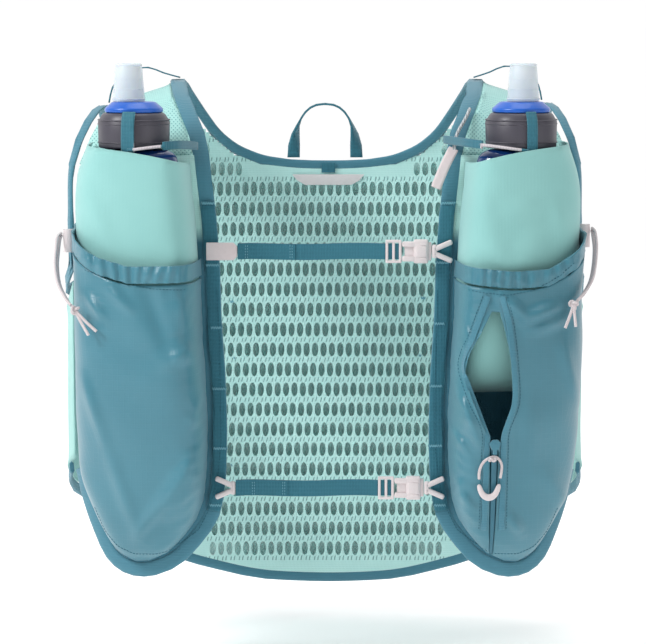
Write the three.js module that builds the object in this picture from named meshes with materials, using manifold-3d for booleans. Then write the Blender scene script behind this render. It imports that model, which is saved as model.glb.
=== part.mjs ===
// Running hydration vest in its worn form, with two soft flasks in the front pockets.
// Millimetres, +Z up. The front faces -Y, and the shoulders rest at the origin's height.
import * as THREE from 'three';
import { mergeVertices } from 'three/addons/utils/BufferGeometryUtils.js';
import Module from 'manifold-3d';

const wasm = await Module();
wasm.setup();

// Torso form that the cloth follows
const half_width_left = 213;
const half_width_right = 205;
const front_depth = 108;
const back_depth = 102;
const corner_power = 3.4;
const shoulder_rise = 90;
const shoulder_slope = 18;
const slope_start = 121;
const body_drop = 337;

// Cloth thicknesses and the clearances between layers and edges
const mesh_wall = 2.2;
const lining_wall = 1;
const lining_gap = 8;
const knit_wall = 1.2;
const nylon_wall = 1;
const layer_gap = 0.9;
const seam_gap = 0.7;
const touch_gap = 0.3;

// Binding tape and webbing
const binding_width = 9;
const front_edge_width = 12.5;
const binding_thickness = 3.4;
const armhole_binding_width = 8;
const webbing_width = 12.5;
const webbing_thickness = 1.6;
const daisy_width = 10;
const daisy_thickness = 1.2;
const daisy_arch = 1.4;
const daisy_loops = 4;

// Flasks
const flask_half_width = 39.8;
const flask_half_depth = 25;
const flask_length = 158;
const lid_radius = 27.5;
const lid_height = 27;
const lid_bottom = -49;
const collar_radius = 22.5;
const collar_height = 8;
const valve_radius = 7.5;
const valve_height = 19;
const cover_radius = 10.4;
const cover_flare = 2.2;
const cover_height = 29;
const cover_wall = 1.2;

// Pockets
const flask_pocket_bulge = 58;
const cargo_mouth_bulge = 66;
const flask_pocket_bottom = 1.45;
const hem_height = 13;
const gather_depth = 1.3;
const gather_count = 11;

// Sternum straps
const upper_strap_z = -130;
const lower_strap_z = -315.5;
const strap_lift = 5.4;
const slider_length = 12.5;
const slider_height = 18;
const slider_thickness = 3.4;
const buckle_length = 23;
const buckle_height = 18.5;
const buckle_thickness = 7;
const hook_length = 13;
const hook_height = 18.5;
const hook_thickness = 4;

// Cords
const drawcord_diameter = 2.4;
const zip_cord_diameter = 2.2;
const loop_webbing_width = 6;
const loop_webbing_thickness = 1;

// What differs between the sides: how far out a flask stands and how much a pocket leans out
const sides = [
  { name: 'left', sign: -1, half_width: half_width_left, flask_across: 0.679, lean: 0.1 },
  { name: 'right', sign: 1, half_width: half_width_right, flask_across: 0.686, lean: 0.25 },
];

const lerp = THREE.MathUtils.lerp;
const radians = THREE.MathUtils.degToRad;

// A quarter of the torso's plan section, walked by arc length: 0 at the centre, 1 at the side
function quarterSection(halfWidth, depth) {
  const steps = 240;
  const walk = [{ x: 0, y: depth, length: 0 }];
  for (let i = 1; i <= steps; i++) {
    const angle = (i / steps) * Math.PI / 2;
    const x = halfWidth * Math.sin(angle) ** (2 / corner_power);
    const y = depth * Math.max(0, Math.cos(angle)) ** (2 / corner_power);
    const last = walk[i - 1];
    walk.push({ x, y, length: last.length + Math.hypot(x - last.x, y - last.y) });
  }
  const total = walk[steps].length;
  const find = (key, value) => {
    let i = 1;
    while (i < steps && walk[i][key] < value) i++;
    const share = (value - walk[i - 1][key]) / (walk[i][key] - walk[i - 1][key]);
    return { a: walk[i - 1], b: walk[i], share };
  };
  return {
    at(turn) {
      const { a, b, share } = find('length', Math.min(1, Math.max(0, turn)) * total);
      return [lerp(a.x, b.x, share), lerp(a.y, b.y, share)];
    },
    turnOf(across) {
      if (across >= 1) return 1;
      const { a, b, share } = find('x', across * halfWidth);
      return lerp(a.length, b.length, share) / total;
    },
  };
}

for (const side of sides) {
  side.front = quarterSection(side.half_width, front_depth);
  side.back = quarterSection(side.half_width, back_depth);
}

// A place on the cloth. turn: 0 front centre, 1 side, 2 back centre.
// down: 0 on the ridge of the shoulder, 1 at the foot of its arch, 2 at the back hem.
function onTorso(side, turn, down) {
  const front = turn <= 1;
  const [x, depth] = front ? side.front.at(turn) : side.back.at(2 - turn);
  const reach = front ? -depth : depth;
  if (down >= 1) {
    return new THREE.Vector3(side.sign * x, reach, -shoulder_rise - (down - 1) * body_drop);
  }
  const climb = radians(90 * (1 - down));
  const ridge_drop = Math.tan(radians(shoulder_slope)) * Math.max(0, x - slope_start);
  const z = -shoulder_rise + (shoulder_rise - ridge_drop) * Math.sin(climb);
  return new THREE.Vector3(side.sign * x, reach * Math.cos(climb), z);
}

// Past the ridge a place with a negative down continues on the other face
function overRidge(side, turn, down) {
  return down >= 0 ? onTorso(side, turn, down) : onTorso(side, 2 - turn, -down);
}

// The surface and its outward normal at a place
function frameAt(side, place) {
  const [turn, down] = place;
  const step = 0.004;
  const point = overRidge(side, turn, down);
  const along = overRidge(side, turn + step, down).sub(overRidge(side, turn - step, down));
  const fall = overRidge(side, turn, down + step).sub(overRidge(side, turn, down - step));
  const normal = along.cross(fall).normalize();
  const outward = new THREE.Vector3(point.x, point.y, 0);
  if (down < 1) outward.z = shoulder_rise * (1 - Math.abs(down));
  if (normal.dot(outward) < 0) normal.negate();
  return { point, normal };
}

// A smooth run through rows of a table, from one row to another, as places
function alongTable(places, from, to, steps) {
  const curve = new THREE.CatmullRomCurve3(
    places.map(([turn, down]) => new THREE.Vector3(turn, down, 0)),
    false,
    'centripetal',
  );
  const run = [];
  for (let i = 0; i <= steps; i++) {
    const row = lerp(from, to, i / steps) / (places.length - 1);
    const p = curve.getPoint(Math.min(1, Math.max(0, row)));
    run.push([p.x, p.y]);
  }
  return run;
}

// Front edge of a side: down the inner edge, round the lobe and up the outer edge.
// across is a share of the half width.
const front_edge = [
  { across: 0.545, down: 0 },
  { across: 0.516, down: 0.367 },
  { across: 0.468, down: 0.563 },
  { across: 0.441, down: 0.75 },
  { across: 0.426, down: 0.95 },
  { across: 0.404, down: 1.12 },
  { across: 0.396, down: 1.28 },
  { across: 0.379, down: 1.45 },
  { across: 0.379, down: 1.62 },
  { across: 0.392, down: 1.7 },
  { across: 0.414, down: 1.75 },
  { across: 0.467, down: 1.798 },
  { across: 0.53, down: 1.844 },
  { across: 0.605, down: 1.874 },
  { across: 0.69, down: 1.888 },
  { across: 0.77, down: 1.88 },
  { across: 0.835, down: 1.848 },
  { across: 0.882, down: 1.79 },
  { across: 0.925, down: 1.72 },
  { across: 0.952, down: 1.65 },
  { across: 0.957, down: 1.5 },
  { across: 0.957, down: 1.34 },
  { across: 0.957, down: 1.17 },
  { across: 0.963, down: 1.02 },
  { across: 0.963, down: 0.86 },
  { across: 0.955, down: 0.75 },
  { across: 0.912, down: 0.45 },
  { across: 0.872, down: 0.2 },
  { across: 0.855, down: 0 },
];
const row_seam_inner = 3;
const row_lobe = 14;
const row_hem_start = 19;
const row_underarm = 22;
const row_seam_outer = 25;

// Back edge of the armhole, from the ridge to the underarm and back to the front edge
const back_armhole = [
  { across: 0.855, down: 0 },
  { across: 0.852, down: 0.35 },
  { across: 0.848, down: 0.66 },
  { across: 0.845, down: 0.9 },
  { across: 0.855, down: 1.07 },
  { across: 0.885, down: 1.165 },
  { across: 0.935, down: 1.225 },
];

// Back of the neck, from the ridge to the centre
const neck_back = [
  { across: 0.545, down: 0 },
  { across: 0.526, down: 0.3 },
  { across: 0.43, down: 0.66 },
  { across: 0.36, down: 0.76 },
  { across: 0.262, down: 0.826 },
  { across: 0.155, down: 0.851 },
  { across: 0.07, down: 0.857 },
  { across: 0, down: 0.858 },
];

// Lower hem, from the front edge round the side to the centre of the back
const lower_hem = [
  { across: 0.952, down: 1.65, front: true },
  { across: 1, down: 1.72, front: true },
  { across: 0.94, down: 1.79 },
  { across: 0.8, down: 1.875 },
  { across: 0.7, down: 1.92 },
  { across: 0.59, down: 1.953 },
  { across: 0.45, down: 1.979 },
  { across: 0.29, down: 2.002 },
  { across: 0.14, down: 2.009 },
  { across: 0, down: 2.011 },
];
const back_seam_across = 0.8;
const yoke_seam_down = 0.66;

const frontPlaces = (side, rows) => rows.map((r) => [side.front.turnOf(r.across), r.down]);
const backPlaces = (side, rows) => rows.map((r) => [2 - side.back.turnOf(r.across), r.down]);

for (const side of sides) {
  side.edge = frontPlaces(side, front_edge);
  const arm_back = backPlaces(side, back_armhole);
  const under = [[1.04, 1.25], [0.94, 1.245]];
  const corner = side.edge[row_underarm];
  side.armBack = [...arm_back, ...under, corner];
  side.neck = backPlaces(side, neck_back);
  side.hem = lower_hem.map((r) => [
    r.front ? side.front.turnOf(r.across) : 2 - side.back.turnOf(r.across),
    r.down,
  ]);
}

// A patch of cloth between four runs of places, blended over its inside
function patch(top, bottom, start, end) {
  const pick = (run, share) => {
    const at = share * (run.length - 1);
    const i = Math.min(run.length - 2, Math.floor(at));
    return [lerp(run[i][0], run[i + 1][0], at - i), lerp(run[i][1], run[i + 1][1], at - i)];
  };
  return (u, v) => {
    const t = pick(top, u);
    const b = pick(bottom, u);
    const s = pick(start, v);
    const e = pick(end, v);
    const corners = [top[0], top[top.length - 1], bottom[0], bottom[bottom.length - 1]];
    return [0, 1].map((k) => {
      const sheet = lerp(lerp(corners[0][k], corners[1][k], u), lerp(corners[2][k], corners[3][k], u), v);
      return lerp(t[k], b[k], v) + lerp(s[k], e[k], u) - sheet;
    });
  };
}

// The share of a patch that a given width takes in from one of its edges
function insetShare(side, shape, u, v, across, width) {
  const step = 0.02;
  const at = (a, b) => overRidge(side, ...shape(a, b));
  const clamp = (value) => Math.min(1 - step, Math.max(step, value));
  const [a, b] = [clamp(u), clamp(v)];
  const du = at(a + step, b).sub(at(a - step, b)).divideScalar(2 * step);
  const dv = at(a, b + step).sub(at(a, b - step)).divideScalar(2 * step);
  const [inward, edge] = across ? [du, dv] : [dv, du];
  const tangent = edge.clone().normalize();
  const square = inward.clone().addScaledVector(tangent, -inward.dot(tangent));
  return width / square.length();
}

// Shares of a patch that keep it clear of what lies along its edges
function insetGrid(side, shape, uShares, vShares, inset) {
  const along = (width) => (typeof width === 'function' ? width : () => width);
  const top = along(inset.top);
  const start = along(inset.start);
  return vShares.map((v) => uShares.map((u) => {
    const left = start(v) ? insetShare(side, shape, 0, v, true, start(v)) : 0;
    const right = inset.end ? insetShare(side, shape, 1, v, true, inset.end) : 0;
    const upper = top(u) ? insetShare(side, shape, u, 0, false, top(u)) : 0;
    const lower = inset.bottom ? insetShare(side, shape, u, 1, false, inset.bottom) : 0;
    return shape(lerp(left, 1 - right, u), lerp(upper, 1 - lower, v));
  }));
}

// A run of places moved in from an edge by a width, square to the edge
function offsetRun(side, run, width, inwardSign) {
  const frames = framesAlong(run.map((place) => ({ side, place })), inwardSign);
  const step = 0.004;
  return run.map(([turn, down], i) => {
    const { inward } = frames[i];
    const du = overRidge(side, turn + step, down).sub(overRidge(side, turn - step, down)).divideScalar(2 * step);
    const dv = overRidge(side, turn, down + step).sub(overRidge(side, turn, down - step)).divideScalar(2 * step);
    const [uu, uv, vv] = [du.dot(du), du.dot(dv), dv.dot(dv)];
    const [u, v] = [du.dot(inward) * width, dv.dot(inward) * width];
    const size = uu * vv - uv * uv;
    return [turn + (u * vv - v * uv) / size, down + (v * uu - u * uv) / size];
  });
}

const even = (count) => Array.from({ length: count + 1 }, (_, i) => i / count);

// Geometry from triangles given as corners, turned so that it faces out
function closedBody(triangles) {
  let volume = 0;
  for (const [a, b, c] of triangles) volume += a.dot(b.clone().cross(c));
  const positions = [];
  for (const [a, b, c] of triangles) {
    const corners = volume < 0 ? [a, c, b] : [a, b, c];
    for (const corner of corners) positions.push(corner.x, corner.y, corner.z);
  }
  const geometry = new THREE.BufferGeometry();
  geometry.setAttribute('position', new THREE.Float32BufferAttribute(positions, 3));
  geometry.computeVertexNormals();
  return geometry;
}

// A wall of cloth: an outer and an inner skin over a grid of cells, with a rim round
// its edge and round each cell that is left open
function clothWall(grid, thickness, isOpen = () => false) {
  const rows = grid.length - 1;
  const columns = grid[0].length - 1;
  const outer = grid.map((row) => row.map((cell) => cell.point));
  const inner = grid.map((row) => row.map((cell) => (
    cell.point.clone().addScaledVector(cell.normal, -(cell.thickness ?? thickness)))));
  const kept = (i, j) => i >= 0 && j >= 0 && i < rows && j < columns && !isOpen(i, j);
  const triangles = [];
  const quad = (a, b, c, d) => triangles.push([a, b, c], [a, c, d]);
  for (let i = 0; i < rows; i++) {
    for (let j = 0; j < columns; j++) {
      if (!kept(i, j)) continue;
      const ring = [[i, j], [i, j + 1], [i + 1, j + 1], [i + 1, j]];
      const around = [[i - 1, j], [i, j + 1], [i + 1, j], [i, j - 1]];
      quad(...ring.map(([r, c]) => outer[r][c]));
      quad(...ring.slice().reverse().map(([r, c]) => inner[r][c]));
      around.forEach((next, k) => {
        if (kept(...next)) return;
        const [r0, c0] = ring[k];
        const [r1, c1] = ring[(k + 1) % 4];
        quad(outer[r1][c1], outer[r0][c0], inner[r0][c0], inner[r1][c1]);
      });
    }
  }
  return closedBody(triangles);
}

// A solid skin through equal rings of points, closed on itself or capped at both ends
function ringSkin(rings, loops = false) {
  const count = rings[0].length;
  const triangles = [];
  const last = loops ? rings.length : rings.length - 1;
  for (let i = 0; i < last; i++) {
    const near = rings[i];
    const far = rings[(i + 1) % rings.length];
    for (let j = 0; j < count; j++) {
      const k = (j + 1) % count;
      triangles.push([near[j], near[k], far[k]], [near[j], far[k], far[j]]);
    }
  }
  if (!loops) {
    const end = rings[rings.length - 1];
    for (let j = 1; j < count - 1; j++) {
      triangles.push([rings[0][0], rings[0][j + 1], rings[0][j]]);
      triangles.push([end[0], end[j], end[j + 1]]);
    }
  }
  return closedBody(triangles);
}

// Frames along a run of places: the surface, its normal and the way in from the edge
function framesAlong(stations, inwardSign, loops = false) {
  const found = stations.map(({ side, place }) => frameAt(side, place));
  return found.map(({ point, normal }, i) => {
    const n = found.length;
    const before = loops ? found[(i + n - 1) % n] : found[Math.max(0, i - 1)];
    const after = loops ? found[(i + 1) % n] : found[Math.min(n - 1, i + 1)];
    const tangent = after.point.clone().sub(before.point).normalize();
    const inward = normal.clone().cross(tangent).normalize().multiplyScalar(inwardSign);
    return { point, normal, inward };
  });
}

// Flat band with rounded edges along frames: from and to are distances in from the edge
function band(frames, from, to, low, high, loops = false) {
  const middle = (low + high) / 2;
  const soft = Math.min(1.2, (to - from) / 4);
  const outline = [
    [from, middle], [from + soft, high], [to - soft, high],
    [to, middle], [to - soft, low], [from + soft, low],
  ];
  const rings = frames.map(({ point, normal, inward, lift = 0 }) => outline.map(([a, b]) => (
    point.clone().addScaledVector(inward, a).addScaledVector(normal, b + lift))));
  return ringSkin(rings, loops);
}

// Round cord along points
function cordAlong(points, diameter, steps) {
  const circle = new THREE.Shape();
  const count = 8;
  for (let i = 0; i < count; i++) {
    const angle = (i / count) * 2 * Math.PI;
    const [x, y] = [Math.cos(angle) * diameter / 2, Math.sin(angle) * diameter / 2];
    if (i === 0) circle.moveTo(x, y);
    else circle.lineTo(x, y);
  }
  circle.closePath();
  const path = new THREE.CatmullRomCurve3(points.map((p) => new THREE.Vector3(...p)));
  return new THREE.ExtrudeGeometry(circle, { steps, extrudePath: path, curveSegments: 1 });
}

// Flat ribbon along points, its width turned towards a given direction
function ribbon(points, width, thickness, across, steps) {
  const curve = new THREE.CatmullRomCurve3(points);
  const rings = even(steps).map((u) => {
    const centre = curve.getPoint(u);
    const tangent = curve.getTangent(u);
    const wide = across.clone().addScaledVector(tangent, -across.dot(tangent)).normalize();
    const face = tangent.clone().cross(wide).normalize();
    return [[-1, -1], [1, -1], [1, 1], [-1, 1]].map(([a, b]) => (
      centre.clone().addScaledVector(wide, a * width / 2).addScaledVector(face, b * thickness / 2)));
  });
  return ringSkin(rings);
}

// One solid from pieces that pass into one another
function fused(geometries) {
  const solids = geometries.map((geometry) => {
    const loose = geometry.index ? geometry.toNonIndexed() : geometry;
    const bare = new THREE.BufferGeometry();
    bare.setAttribute('position', loose.getAttribute('position'));
    const merged = mergeVertices(bare, 1e-4);
    return new wasm.Manifold(new wasm.Mesh({
      numProp: 3,
      vertProperties: merged.getAttribute('position').array,
      triVerts: new Uint32Array(merged.index.array),
    }));
  });
  const mesh = solids.reduce((whole, solid) => whole.add(solid)).getMesh();
  const geometry = new THREE.BufferGeometry();
  geometry.setAttribute('position', new THREE.BufferAttribute(mesh.vertProperties, 3));
  geometry.setIndex(new THREE.BufferAttribute(mesh.triVerts, 1));
  geometry.computeVertexNormals();
  return geometry;
}

// Plate cut from an outline in the X-Z plane, with its middle at y
function plate(outline, thickness, y, holes = []) {
  const shape = new THREE.Shape(outline.map(([x, z]) => new THREE.Vector2(x, z)));
  for (const hole of holes) shape.holes.push(new THREE.Path(hole.map(([x, z]) => new THREE.Vector2(x, z))));
  const geometry = new THREE.ExtrudeGeometry(shape, { depth: thickness, bevelEnabled: false, curveSegments: 4 });
  geometry.rotateX(Math.PI / 2);
  geometry.translate(0, y + thickness / 2, 0);
  return geometry;
}

const part = new THREE.Group();

function add(name, geometry, color, roughness = 0.9, metalness = 0) {
  const material = new THREE.MeshStandardMaterial({ color, roughness, metalness });
  const mesh = new THREE.Mesh(geometry, material);
  mesh.name = name;
  part.add(mesh);
  return mesh;
}

// Colours of the cloths and fittings
const mint = 0xa8dcd6;
const aqua = 0x8fcfc9;
const steel_teal = 0x4a8799;
const deep_teal = 0x267080;
const pale_pink = 0xd9cfd0;
const charcoal = 0x44424c;
const bright_blue = 0x0a6ed0;
const navy = 0x0b3a7c;
const clear_white = 0xe8eef2;

const surfaceGrid = (side, places, lift = 0) => places.map((row) => row.map((place) => {
  const { point, normal } = frameAt(side, place);
  return { point: point.addScaledVector(normal, lift), normal };
}));

const edge_inset = binding_width + seam_gap;
const front_inset = front_edge_width + seam_gap;
const arm_inset = armhole_binding_width + seam_gap;

// Yoke over the shoulder, from the seam on the front to the seam on the back
const yoke_steps = 4;
const panel_columns = 5;
function buildYoke(side) {
  const ridge_inner = alongTable(side.edge, 0, row_seam_inner, yoke_steps).reverse();
  const back_inner = alongTable(side.neck, 0, 2, yoke_steps).map(([turn, down]) => [2 - turn, -down]);
  const ridge_outer = alongTable(side.edge, row_seam_outer, side.edge.length - 1, yoke_steps);
  const back_outer = alongTable(side.armBack, 0, 2, yoke_steps).map(([turn, down]) => [2 - turn, -down]);
  const inner = [...ridge_inner, ...back_inner.slice(1)];
  const outer = [...ridge_outer, ...back_outer.slice(1)];
  const near = offsetRun(side, inner, front_inset + touch_gap, -side.sign);
  const far = offsetRun(side, outer, arm_inset + touch_gap, side.sign);
  const last = inner.length - 1;
  const shape = patch([near[0], far[0]], [near[last], far[last]], near, far);
  const inset = { top: seam_gap, bottom: seam_gap };
  const places = insetGrid(side, shape, even(panel_columns), even(2 * yoke_steps), inset);
  add(`yoke_${side.name}`, clothWall(surfaceGrid(side, places), mesh_wall), mint);
}

// A run of places spread evenly by its length over the cloth
function spread(side, run, steps) {
  const points = run.map((place) => overRidge(side, ...place));
  const lengths = [0];
  points.slice(1).forEach((point, i) => lengths.push(lengths[i] + point.distanceTo(points[i])));
  const last = lengths.length - 1;
  return even(steps).map((share) => {
    const length = share * lengths[last];
    let i = 1;
    while (i < last && lengths[i] < length) i++;
    const part_way = (length - lengths[i - 1]) / (lengths[i] - lengths[i - 1]);
    return [0, 1].map((k) => lerp(run[i - 1][k], run[i][k], part_way));
  });
}

// Front panel between its inner and outer edges, ending in the round lobe
const lobe_steps = 14;
function frontRuns(side, row_inner, row_outer, steps) {
  const inner = alongTable(side.edge, row_inner, row_lobe - 0.5, steps);
  const outer = alongTable(side.edge, row_outer, row_lobe + 0.5, steps);
  return [
    offsetRun(side, inner, front_inset, side.sign),
    offsetRun(side, outer, front_inset, -side.sign),
  ];
}

const between = (near, far) => patch(
  [near[0], far[0]],
  [near[near.length - 1], far[far.length - 1]],
  near,
  far,
);

// The pockets start higher on the outside, over the yoke
const row_mouth_inner = 3.2;
const row_mouth_outer = 25.65;
const run_steps = 48;
for (const side of sides) {
  side.shape = between(...frontRuns(side, row_seam_inner, row_seam_outer, lobe_steps));
  const runs = frontRuns(side, row_mouth_inner, row_mouth_outer, run_steps);
  side.pocket = between(...runs.map((run) => spread(side, run, run_steps)));
}

function buildFrontPanel(side) {
  const inset = { top: seam_gap };
  const places = insetGrid(side, side.shape, even(panel_columns), even(lobe_steps), inset);
  add(`front_panel_${side.name}`, clothWall(surfaceGrid(side, places), mesh_wall), mint);
}

// How far a pocket stands off the panel: flat at its seams, full over most of its width
const swell = (u, fullness) => Math.max(0, 1 - Math.abs(2 * u - 1) ** fullness) ** 0.5;

// A place on a pocket: clear of the panel along its normal, then out and mostly forward,
// and plumb where the arch of the shoulder falls back
function pocketPoint(side, place, base, bulge, u) {
  const [turn, down] = place;
  const { point, normal } = frameAt(side, place);
  const level = frameAt(side, [turn, Math.max(1.01, down)]).normal;
  const upright = onTorso(side, turn, 1);
  const retreat = Math.hypot(upright.x - point.x, upright.y - point.y);
  const out = level.clone().multiplyScalar(side.lean).add(new THREE.Vector3(0, side.lean - 1, 0)).normalize();
  const reach = bulge + retreat * swell(u, 4);
  point.addScaledVector(normal, base).addScaledVector(out, reach);
  const skin = level.clone().multiplyScalar(Math.min(1, reach / 12)).addScaledVector(normal, Math.max(0, 1 - reach / 12));
  return { point, normal: skin.normalize() };
}

// A pocket's grid with normals square to its own skin, so that its steep sides keep their
// thickness. At a seam the normal leans back to the panel's.
function skinned(grid) {
  const rows = grid.length - 1;
  const columns = grid[0].length - 1;
  const at = (i, j) => grid[Math.min(rows, Math.max(0, i))][Math.min(columns, Math.max(0, j))].point;
  const square = (i, j) => at(i, j + 1).clone().sub(at(i, j - 1))
    .cross(at(i + 1, j).clone().sub(at(i - 1, j)))
    .normalize();
  const middle = [Math.round(rows / 3), Math.round(columns / 2)];
  const facing = Math.sign(square(...middle).dot(grid[middle[0]][middle[1]].normal));
  return grid.map((line, i) => line.map(({ point, normal }, j) => {
    const skin = square(i, j).multiplyScalar(facing);
    if (j === 0 || j === columns || i === rows) skin.add(normal);
    return { point, normal: skin.normalize() };
  }));
}

// The share down a front panel at which a given down lies, in one of its columns
function shareAt(side, u, down) {
  let low = 0;
  let high = 1;
  for (let i = 0; i < 24; i++) {
    const middle = (low + high) / 2;
    if (side.pocket(u, middle)[1] < down) low = middle;
    else high = middle;
  }
  return low;
}

const readRow = (rows, u, key) => {
  let i = 1;
  while (i < rows.length - 1 && rows[i].u < u) i++;
  const share = (u - rows[i - 1].u) / (rows[i].u - rows[i - 1].u);
  return lerp(rows[i - 1][key], rows[i][key], share);
};

// Stretch knit pocket round a flask, closed under it
const flask_pocket_rows = [0, 0.1, 0.2, 0.32, 0.5, 0.68, 0.82, 0.91, 0.965, 1];
const pocket_columns = [0, 0.025, 0.08, 0.18, 0.34, 0.5, 0.66, 0.82, 0.92, 0.975, 1];
const pocket_edge = 0.024;
function buildFlaskPocket(side) {
  const grid = flask_pocket_rows.map((v) => pocket_columns.map((s) => {
    const u = lerp(pocket_edge, 1 - pocket_edge, s);
    const place = side.pocket(u, v * shareAt(side, u, flask_pocket_bottom));
    const close = Math.max(0, 1 - v ** 9) ** 0.5;
    return pocketPoint(side, place, layer_gap + knit_wall, flask_pocket_bulge * swell(s, 7) * close, s);
  }));
  add(`flask_pocket_${side.name}`, clothWall(skinned(grid), knit_wall), aqua);
}

// Mouth of a cargo pocket: it sags at the middle and rises to the drawcord
const cargo_mouth = {
  left: [{ u: 0, down: 1.137 }, { u: 0.5, down: 1.141 }, { u: 0.75, down: 1.12 }, { u: 0.9, down: 1.09 }, { u: 1, down: 1.06 }],
  right: [{ u: 0, down: 1.139 }, { u: 0.4, down: 1.152 }, { u: 0.65, down: 1.148 }, { u: 0.85, down: 1.11 }, { u: 1, down: 1.06 }],
};

// Fullness of a cargo pocket from its mouth to the lobe, as shares of the mouth's bulge
const cargo_fullness = [
  { u: 0, bulge: 1 },
  { u: 0.16, bulge: 1.01 },
  { u: 0.3, bulge: 0.99 },
  { u: 0.42, bulge: 0.93 },
  { u: 0.55, bulge: 0.78 },
  { u: 0.68, bulge: 0.62 },
  { u: 0.8, bulge: 0.46 },
  { u: 0.9, bulge: 0.29 },
  { u: 0.97, bulge: 0.12 },
  { u: 1, bulge: 0 },
];

const cargo_base = 2 * layer_gap + knit_wall + nylon_wall;
const cargo_u = 0.01;
const hem_down = hem_height / body_drop;

function cargoPoint(side, s, v, drop, extra = 0) {
  const u = lerp(cargo_u, 1 - cargo_u, s);
  const mouth = readRow(cargo_mouth[side.name], s, 'down') + drop;
  const top = shareAt(side, u, mouth);
  const place = side.pocket(u, lerp(top, 1, v));
  const bulge = cargo_mouth_bulge * readRow(cargo_fullness, v, 'bulge');
  return pocketPoint(side, place, cargo_base, bulge * swell(s, 7.5) + extra, s);
}

// Zip of the right pocket: its line, and the leaf that gapes open above the slider
const zip_x = 126;
const zip_half_width = 3;
const pocket_rows = 14;
const zip_left_columns = [0, 0.1, 0.3, 0.6, 1];
const zip_right_columns = [0, 0.2, 0.45, 0.7, 0.87, 0.96, 1];
const zip_top_row = 1;
const zip_slider_row = 7;
const zip_end_row = 13;
const zip_leaf = [
  { u: 1, left: 0, right: 0 },
  { u: 2, left: 8, right: 5 },
  { u: 3, left: 17, right: 8 },
  { u: 4, left: 20, right: 10 },
  { u: 5, left: 14, right: 10 },
  { u: 6, left: 7, right: 7 },
  { u: 7, left: 0, right: 0 },
];

const cargo_drop = hem_down + 2 * seam_gap / body_drop;

// Share across the pocket at which the zip's line lies
function zipShare(side, v) {
  let low = 0;
  let high = 1;
  for (let i = 0; i < 20; i++) {
    const middle = (low + high) / 2;
    if (cargoPoint(side, middle, v, cargo_drop).point.x < zip_x) low = middle;
    else high = middle;
  }
  return low;
}

function cargoColumns(side, row) {
  if (side.name === 'left') return pocket_columns;
  const width = pocketWidth(side);
  const zip_s = zipShare(side, Math.min(row, zip_end_row) / pocket_rows);
  const gape = row > zip_top_row && row < zip_slider_row;
  const left = Math.max(0.05, zip_s - (zip_half_width + (gape ? readRow(zip_leaf, row, 'left') : 0)) / width);
  const right = zip_s + (zip_half_width + (gape ? readRow(zip_leaf, row, 'right') : 0)) / width;
  return [...zip_left_columns.map((k) => left * k), ...zip_right_columns.map((k) => lerp(right, 1, k))];
}

// Width of cloth across a pocket at its middle
function pocketWidth(side) {
  const points = even(8).map((u) => frameAt(side, side.pocket(u, 0.5)).point);
  return points.slice(1).reduce((sum, point, i) => sum + point.distanceTo(points[i]), 0);
}

function buildCargoPocket(side) {
  const grid = even(pocket_rows).map((v, row) => (
    cargoColumns(side, row).map((s) => cargoPoint(side, s, v, cargo_drop))));
  const open = (i, j) => side.name === 'right' && j === 4 && i >= zip_top_row && i < zip_end_row;
  add(`cargo_pocket_${side.name}`, clothWall(skinned(grid), nylon_wall, open), steel_teal, 0.5);
}

// Gathered casing round the mouth
function buildCargoHem(side) {
  const columns = 2 * gather_count;
  const grid = even(2).map((v) => even(columns).map((s, j) => {
    const fold = j % 2 === 1 ? gather_depth : 0;
    const swing = v === 0.5 ? 1.2 : 0;
    const edge = Math.min(1, 8 * s, 8 * (1 - s));
    return cargoPoint(side, s, 0, hem_down * (v - 0.02), (fold + swing) * edge);
  }));
  add(`cargo_hem_${side.name}`, clothWall(grid, 2 * nylon_wall), steel_teal, 0.6);
}

// Side panel under the arm, from the front panel's seam to the back panel's seam
const side_rows = 5;
function sideBackSeam(side) {
  const turn = 2 - side.back.turnOf(back_seam_across);
  return [[turn, 1.1], [turn, 1.875]];
}

function buildSidePanel(side) {
  const top = [side.edge[row_underarm], [0.94, 1.245], [1.04, 1.25]];
  const arm = backPlaces(side, back_armhole);
  top.push(arm[6], arm[5], [2 - side.back.turnOf(0.83), 1.12]);
  const front = [side.edge[row_underarm], side.edge[row_hem_start]];
  const [back_top, back_bottom] = sideBackSeam(side);
  top.push(back_top);
  const bottom = alongTable(side.hem, 0, 3, 6);
  const shape = patch(top, bottom, front, [back_top, back_bottom]);
  const inset = { start: seam_gap / 2, end: seam_gap / 2, top: arm_inset + 1, bottom: edge_inset + seam_gap };
  const places = insetGrid(side, shape, even(6), even(side_rows), inset);
  add(`side_panel_${side.name}`, clothWall(surfaceGrid(side, places), mesh_wall), mint);
}

// Back panel of open spacer mesh, from the neck and the yokes to the hem.
// The large gaps stand for the rows of small ovals in the real mesh.
const yoke_seam_share = 0.4;
const yoke_overhang = 7;
const arm_share = 0.2;
const back_half_columns = 9;
const back_rows = 15;
function backHalf(side) {
  const seam_outer = side.armBack[2];
  const seam_inner = side.neck[2];
  const neck = alongTable(side.neck, 2, side.neck.length - 1, 5);
  const seam = even(4).map((k) => [lerp(seam_outer[0], seam_inner[0], k), yoke_seam_down]);
  const top = [...seam, ...neck.slice(1)];
  const bottom = alongTable(side.hem, 3, side.hem.length - 1, 9);
  const turn = 2 - side.back.turnOf(back_seam_across);
  const edge = [seam_outer, [turn + 0.0, 0.9], [turn, 1.1], [turn, 1.35], [turn, 1.6], bottom[0]];
  const centre = [top[top.length - 1], bottom[bottom.length - 1]];
  return { top, bottom, edge, centre };
}

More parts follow.
